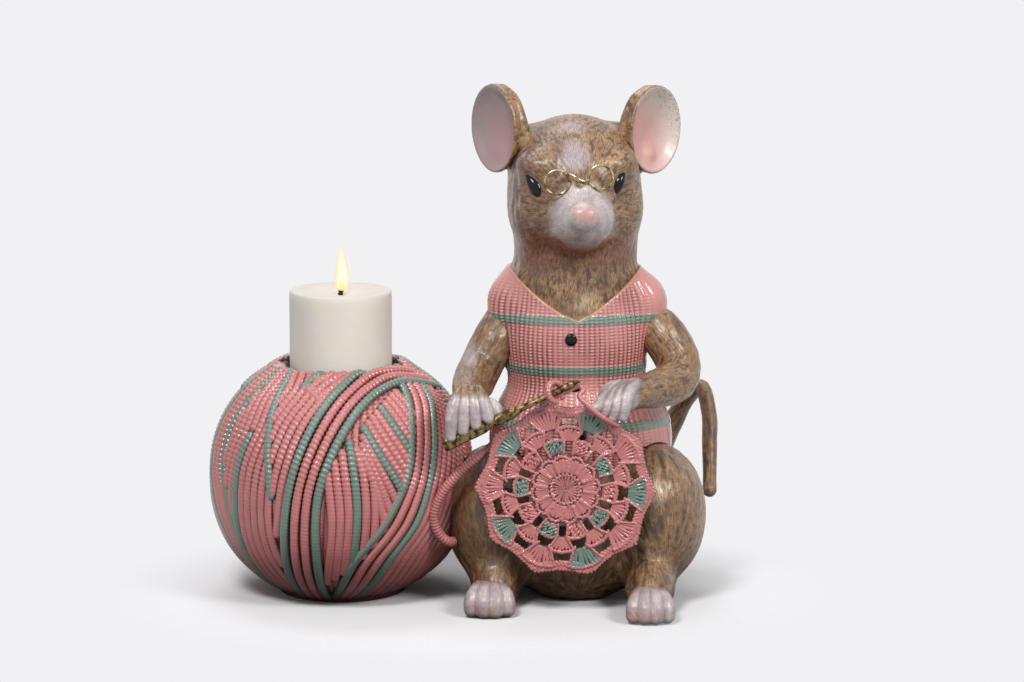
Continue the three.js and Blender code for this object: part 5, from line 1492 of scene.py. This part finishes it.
# The thin sheet under the stitches, with its openings
grid_x, grid_y = np.meshgrid(axes[0], axes[1], indexing="ij")
flat, angle = np.hypot(grid_x, grid_y), np.degrees(np.arctan2(grid_y, grid_x))
sheet = flat - outline(angle) + 1.4
for turn_at, radius, wide, deep in ((SECTOR / 2 + SHELL_TURN, 16.5, 1.9, 2.1), (SHELL_TURN, 21.6, 3.1, 2.0),
                                    (SECTOR / 2 + FAN_TURN, 27.0, 3.1, 2.1)):
    side = np.radians(in_sector(angle, turn_at)[1]) * flat
    hole = np.hypot(side / wide, (flat - radius) / deep) * min(wide, deep) - min(wide, deep)
    sheet = np.maximum(sheet, -hole)
plate = np.maximum(sheet[:, :, None], np.abs(axes[2] - 0.65) - 0.45)
doily_field = np.minimum(doily_field, plate)

# Every second shell and every second fan is green
points, quads = net(doily_field, doily_low, DOILY_CELL)
flat, angle = np.hypot(points[:, 0], points[:, 1]), np.degrees(np.arctan2(points[:, 1], points[:, 0]))
number, off = in_sector(angle, SHELL_TURN)
half = 11.5 - 0.2 * (19 - flat)
green = rise(flat, 14.3, 14.7) * rise(flat, 19.6, 19.2) * rise(np.abs(off), half, half - 0.7) * (number % 2 == 1)
number, off = in_sector(angle, FAN_TURN)
half = 6.2 + (flat - 23.5) * 0.78
fans = rise(flat, 23.4, 23.8) * rise(flat, 31.0, 30.6) * rise(np.abs(off), half + 0.5, half - 0.4)
green = np.clip(green + fans * (number % 2 == 0), 0, 1)
shown = np.stack([points[:, 0], -points[:, 2], points[:, 1]], axis=1) + DOILY_MIDDLE
# The groove mark darkens the low parts between the stitches, partly as wash and partly as painted shade
piece("crochet_doily", shown + MOUSE, quads.tolist(), yarn_paint, stands_for=("doily",),
      marks={"green": green, "groove": rise(points[:, 2], 1.95, 1.15)})

# %% [markdown]
# ## Loose yarn
#
# The yarn leaves the ball, passes in front of the hip and ends at the doily's corner. A loop sits on the hook,
# and the mouse pulls a short end with its left paw.

# %% Lead, loop and working yarn
def loose(name, stations, radius, node, rib):
    """A ribbed cord through stations in the mouse's frame."""
    points, faces, groove = yarn(spline(stations, 120), radius, sides=12, rib=rib, depth=0.07)
    return piece(name, points + MOUSE, faces, yarn_paint, stands_for=(node,),
                 marks={"green": np.zeros(len(points)), "groove": 0.7 * groove})


LEAD = [[-46.8, -30, 25.8], [-50, -33, 26.6], [-53.6, -35, 31], [-55, -36.5, 38], [-51.6, -38, 47], [-45, -39, 55],
        [-38.4, -40.5, 61.2], [-28.1, -40.9, 69.1]]
loose("loose_yarn_lead", LEAD, 1.95, "yarn_lead", 1.3)
WORKING = [[-14.3, -47.3, 83.0], [-8.0, -47.4, 86.4], [-2.4, -47.4, 89.4], [0.8, -47.4, 90.6], [2.2, -48.6, 89.4],
           [0.8, -50.0, 87.2], [3.4, -51.6, 84.4], [6.8, -52.4, 81.5], [10.2, -52.0, 78.9], [13.4, -49.5, 76.6],
           [15.5, -47.5, 75.2]]
loose("loose_working_yarn", WORKING, 1.05, "working_yarn", 1.2)

LOOP_ALONG, LOOP_HIGH, LOOP_OUT = 47.3, np.array([-1.6, 0, 3.5]), np.array([-2.3, -2.6, -1.1])
LOOP_AT = HOOK_BUTT + unit(HOOK_TIP - HOOK_BUTT) * LOOP_ALONG
LOOP = [LOOP_AT + LOOP_HIGH * math.cos(turn_by) + LOOP_OUT * math.sin(turn_by)
        for turn_by in np.radians([168, 130, 90, 45, 0, -45, -90, -130, -160])]
loose("loose_working_loop", LOOP, 1.2, "working_loop", 1.2)

# %% [markdown]
# ## Felt pads
#
# Pads of dark felt under the ball and the seat keep the casting from scratching a table.

# %% Felt
# Felt is quite matt, and its fibres catch a little light at the edges, which is what sheen gives.
felt, tree, shader = principled("pressed_wool_felt", Roughness=0.95, Sheen_Weight=0.3)
tree.links.new(blend(tree, cloud(tree, 0.8), "#2f2d2c", "#4a4745"), shader.inputs["Base Color"])
relief(tree, shader, cloud(tree, 0.5), 0.1)
PAD = [[0, 0], [0.97, 0], [0.99, 0.15], [1, 0.5], [1, 1.0], [0.985, 1.3], [0.96, FELT_TOP], [0, FELT_TOP]]
for name, middle, half_x, half_y, node in (("felt_under_ball", (0, 0, 0), 12, 12, "ball_felt"),
                                           ("felt_under_seat", (92, 8, 0), 22, 17, "seat_felt")):
    points, faces = lathe(PAD, 64)
    points = points * (half_x, half_y, 1)
    points[:, :2] *= (1 + 0.01 * (noise(points, 1.5, 9) - 0.5))[:, None]
    piece(name, points + middle, faces, felt, stands_for=(node,))

# %% The last lines
shown_box = [list(corner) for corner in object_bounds()]
print("shown box in mm:", [[round(1000 * value, 1) for value in corner] for corner in shown_box])
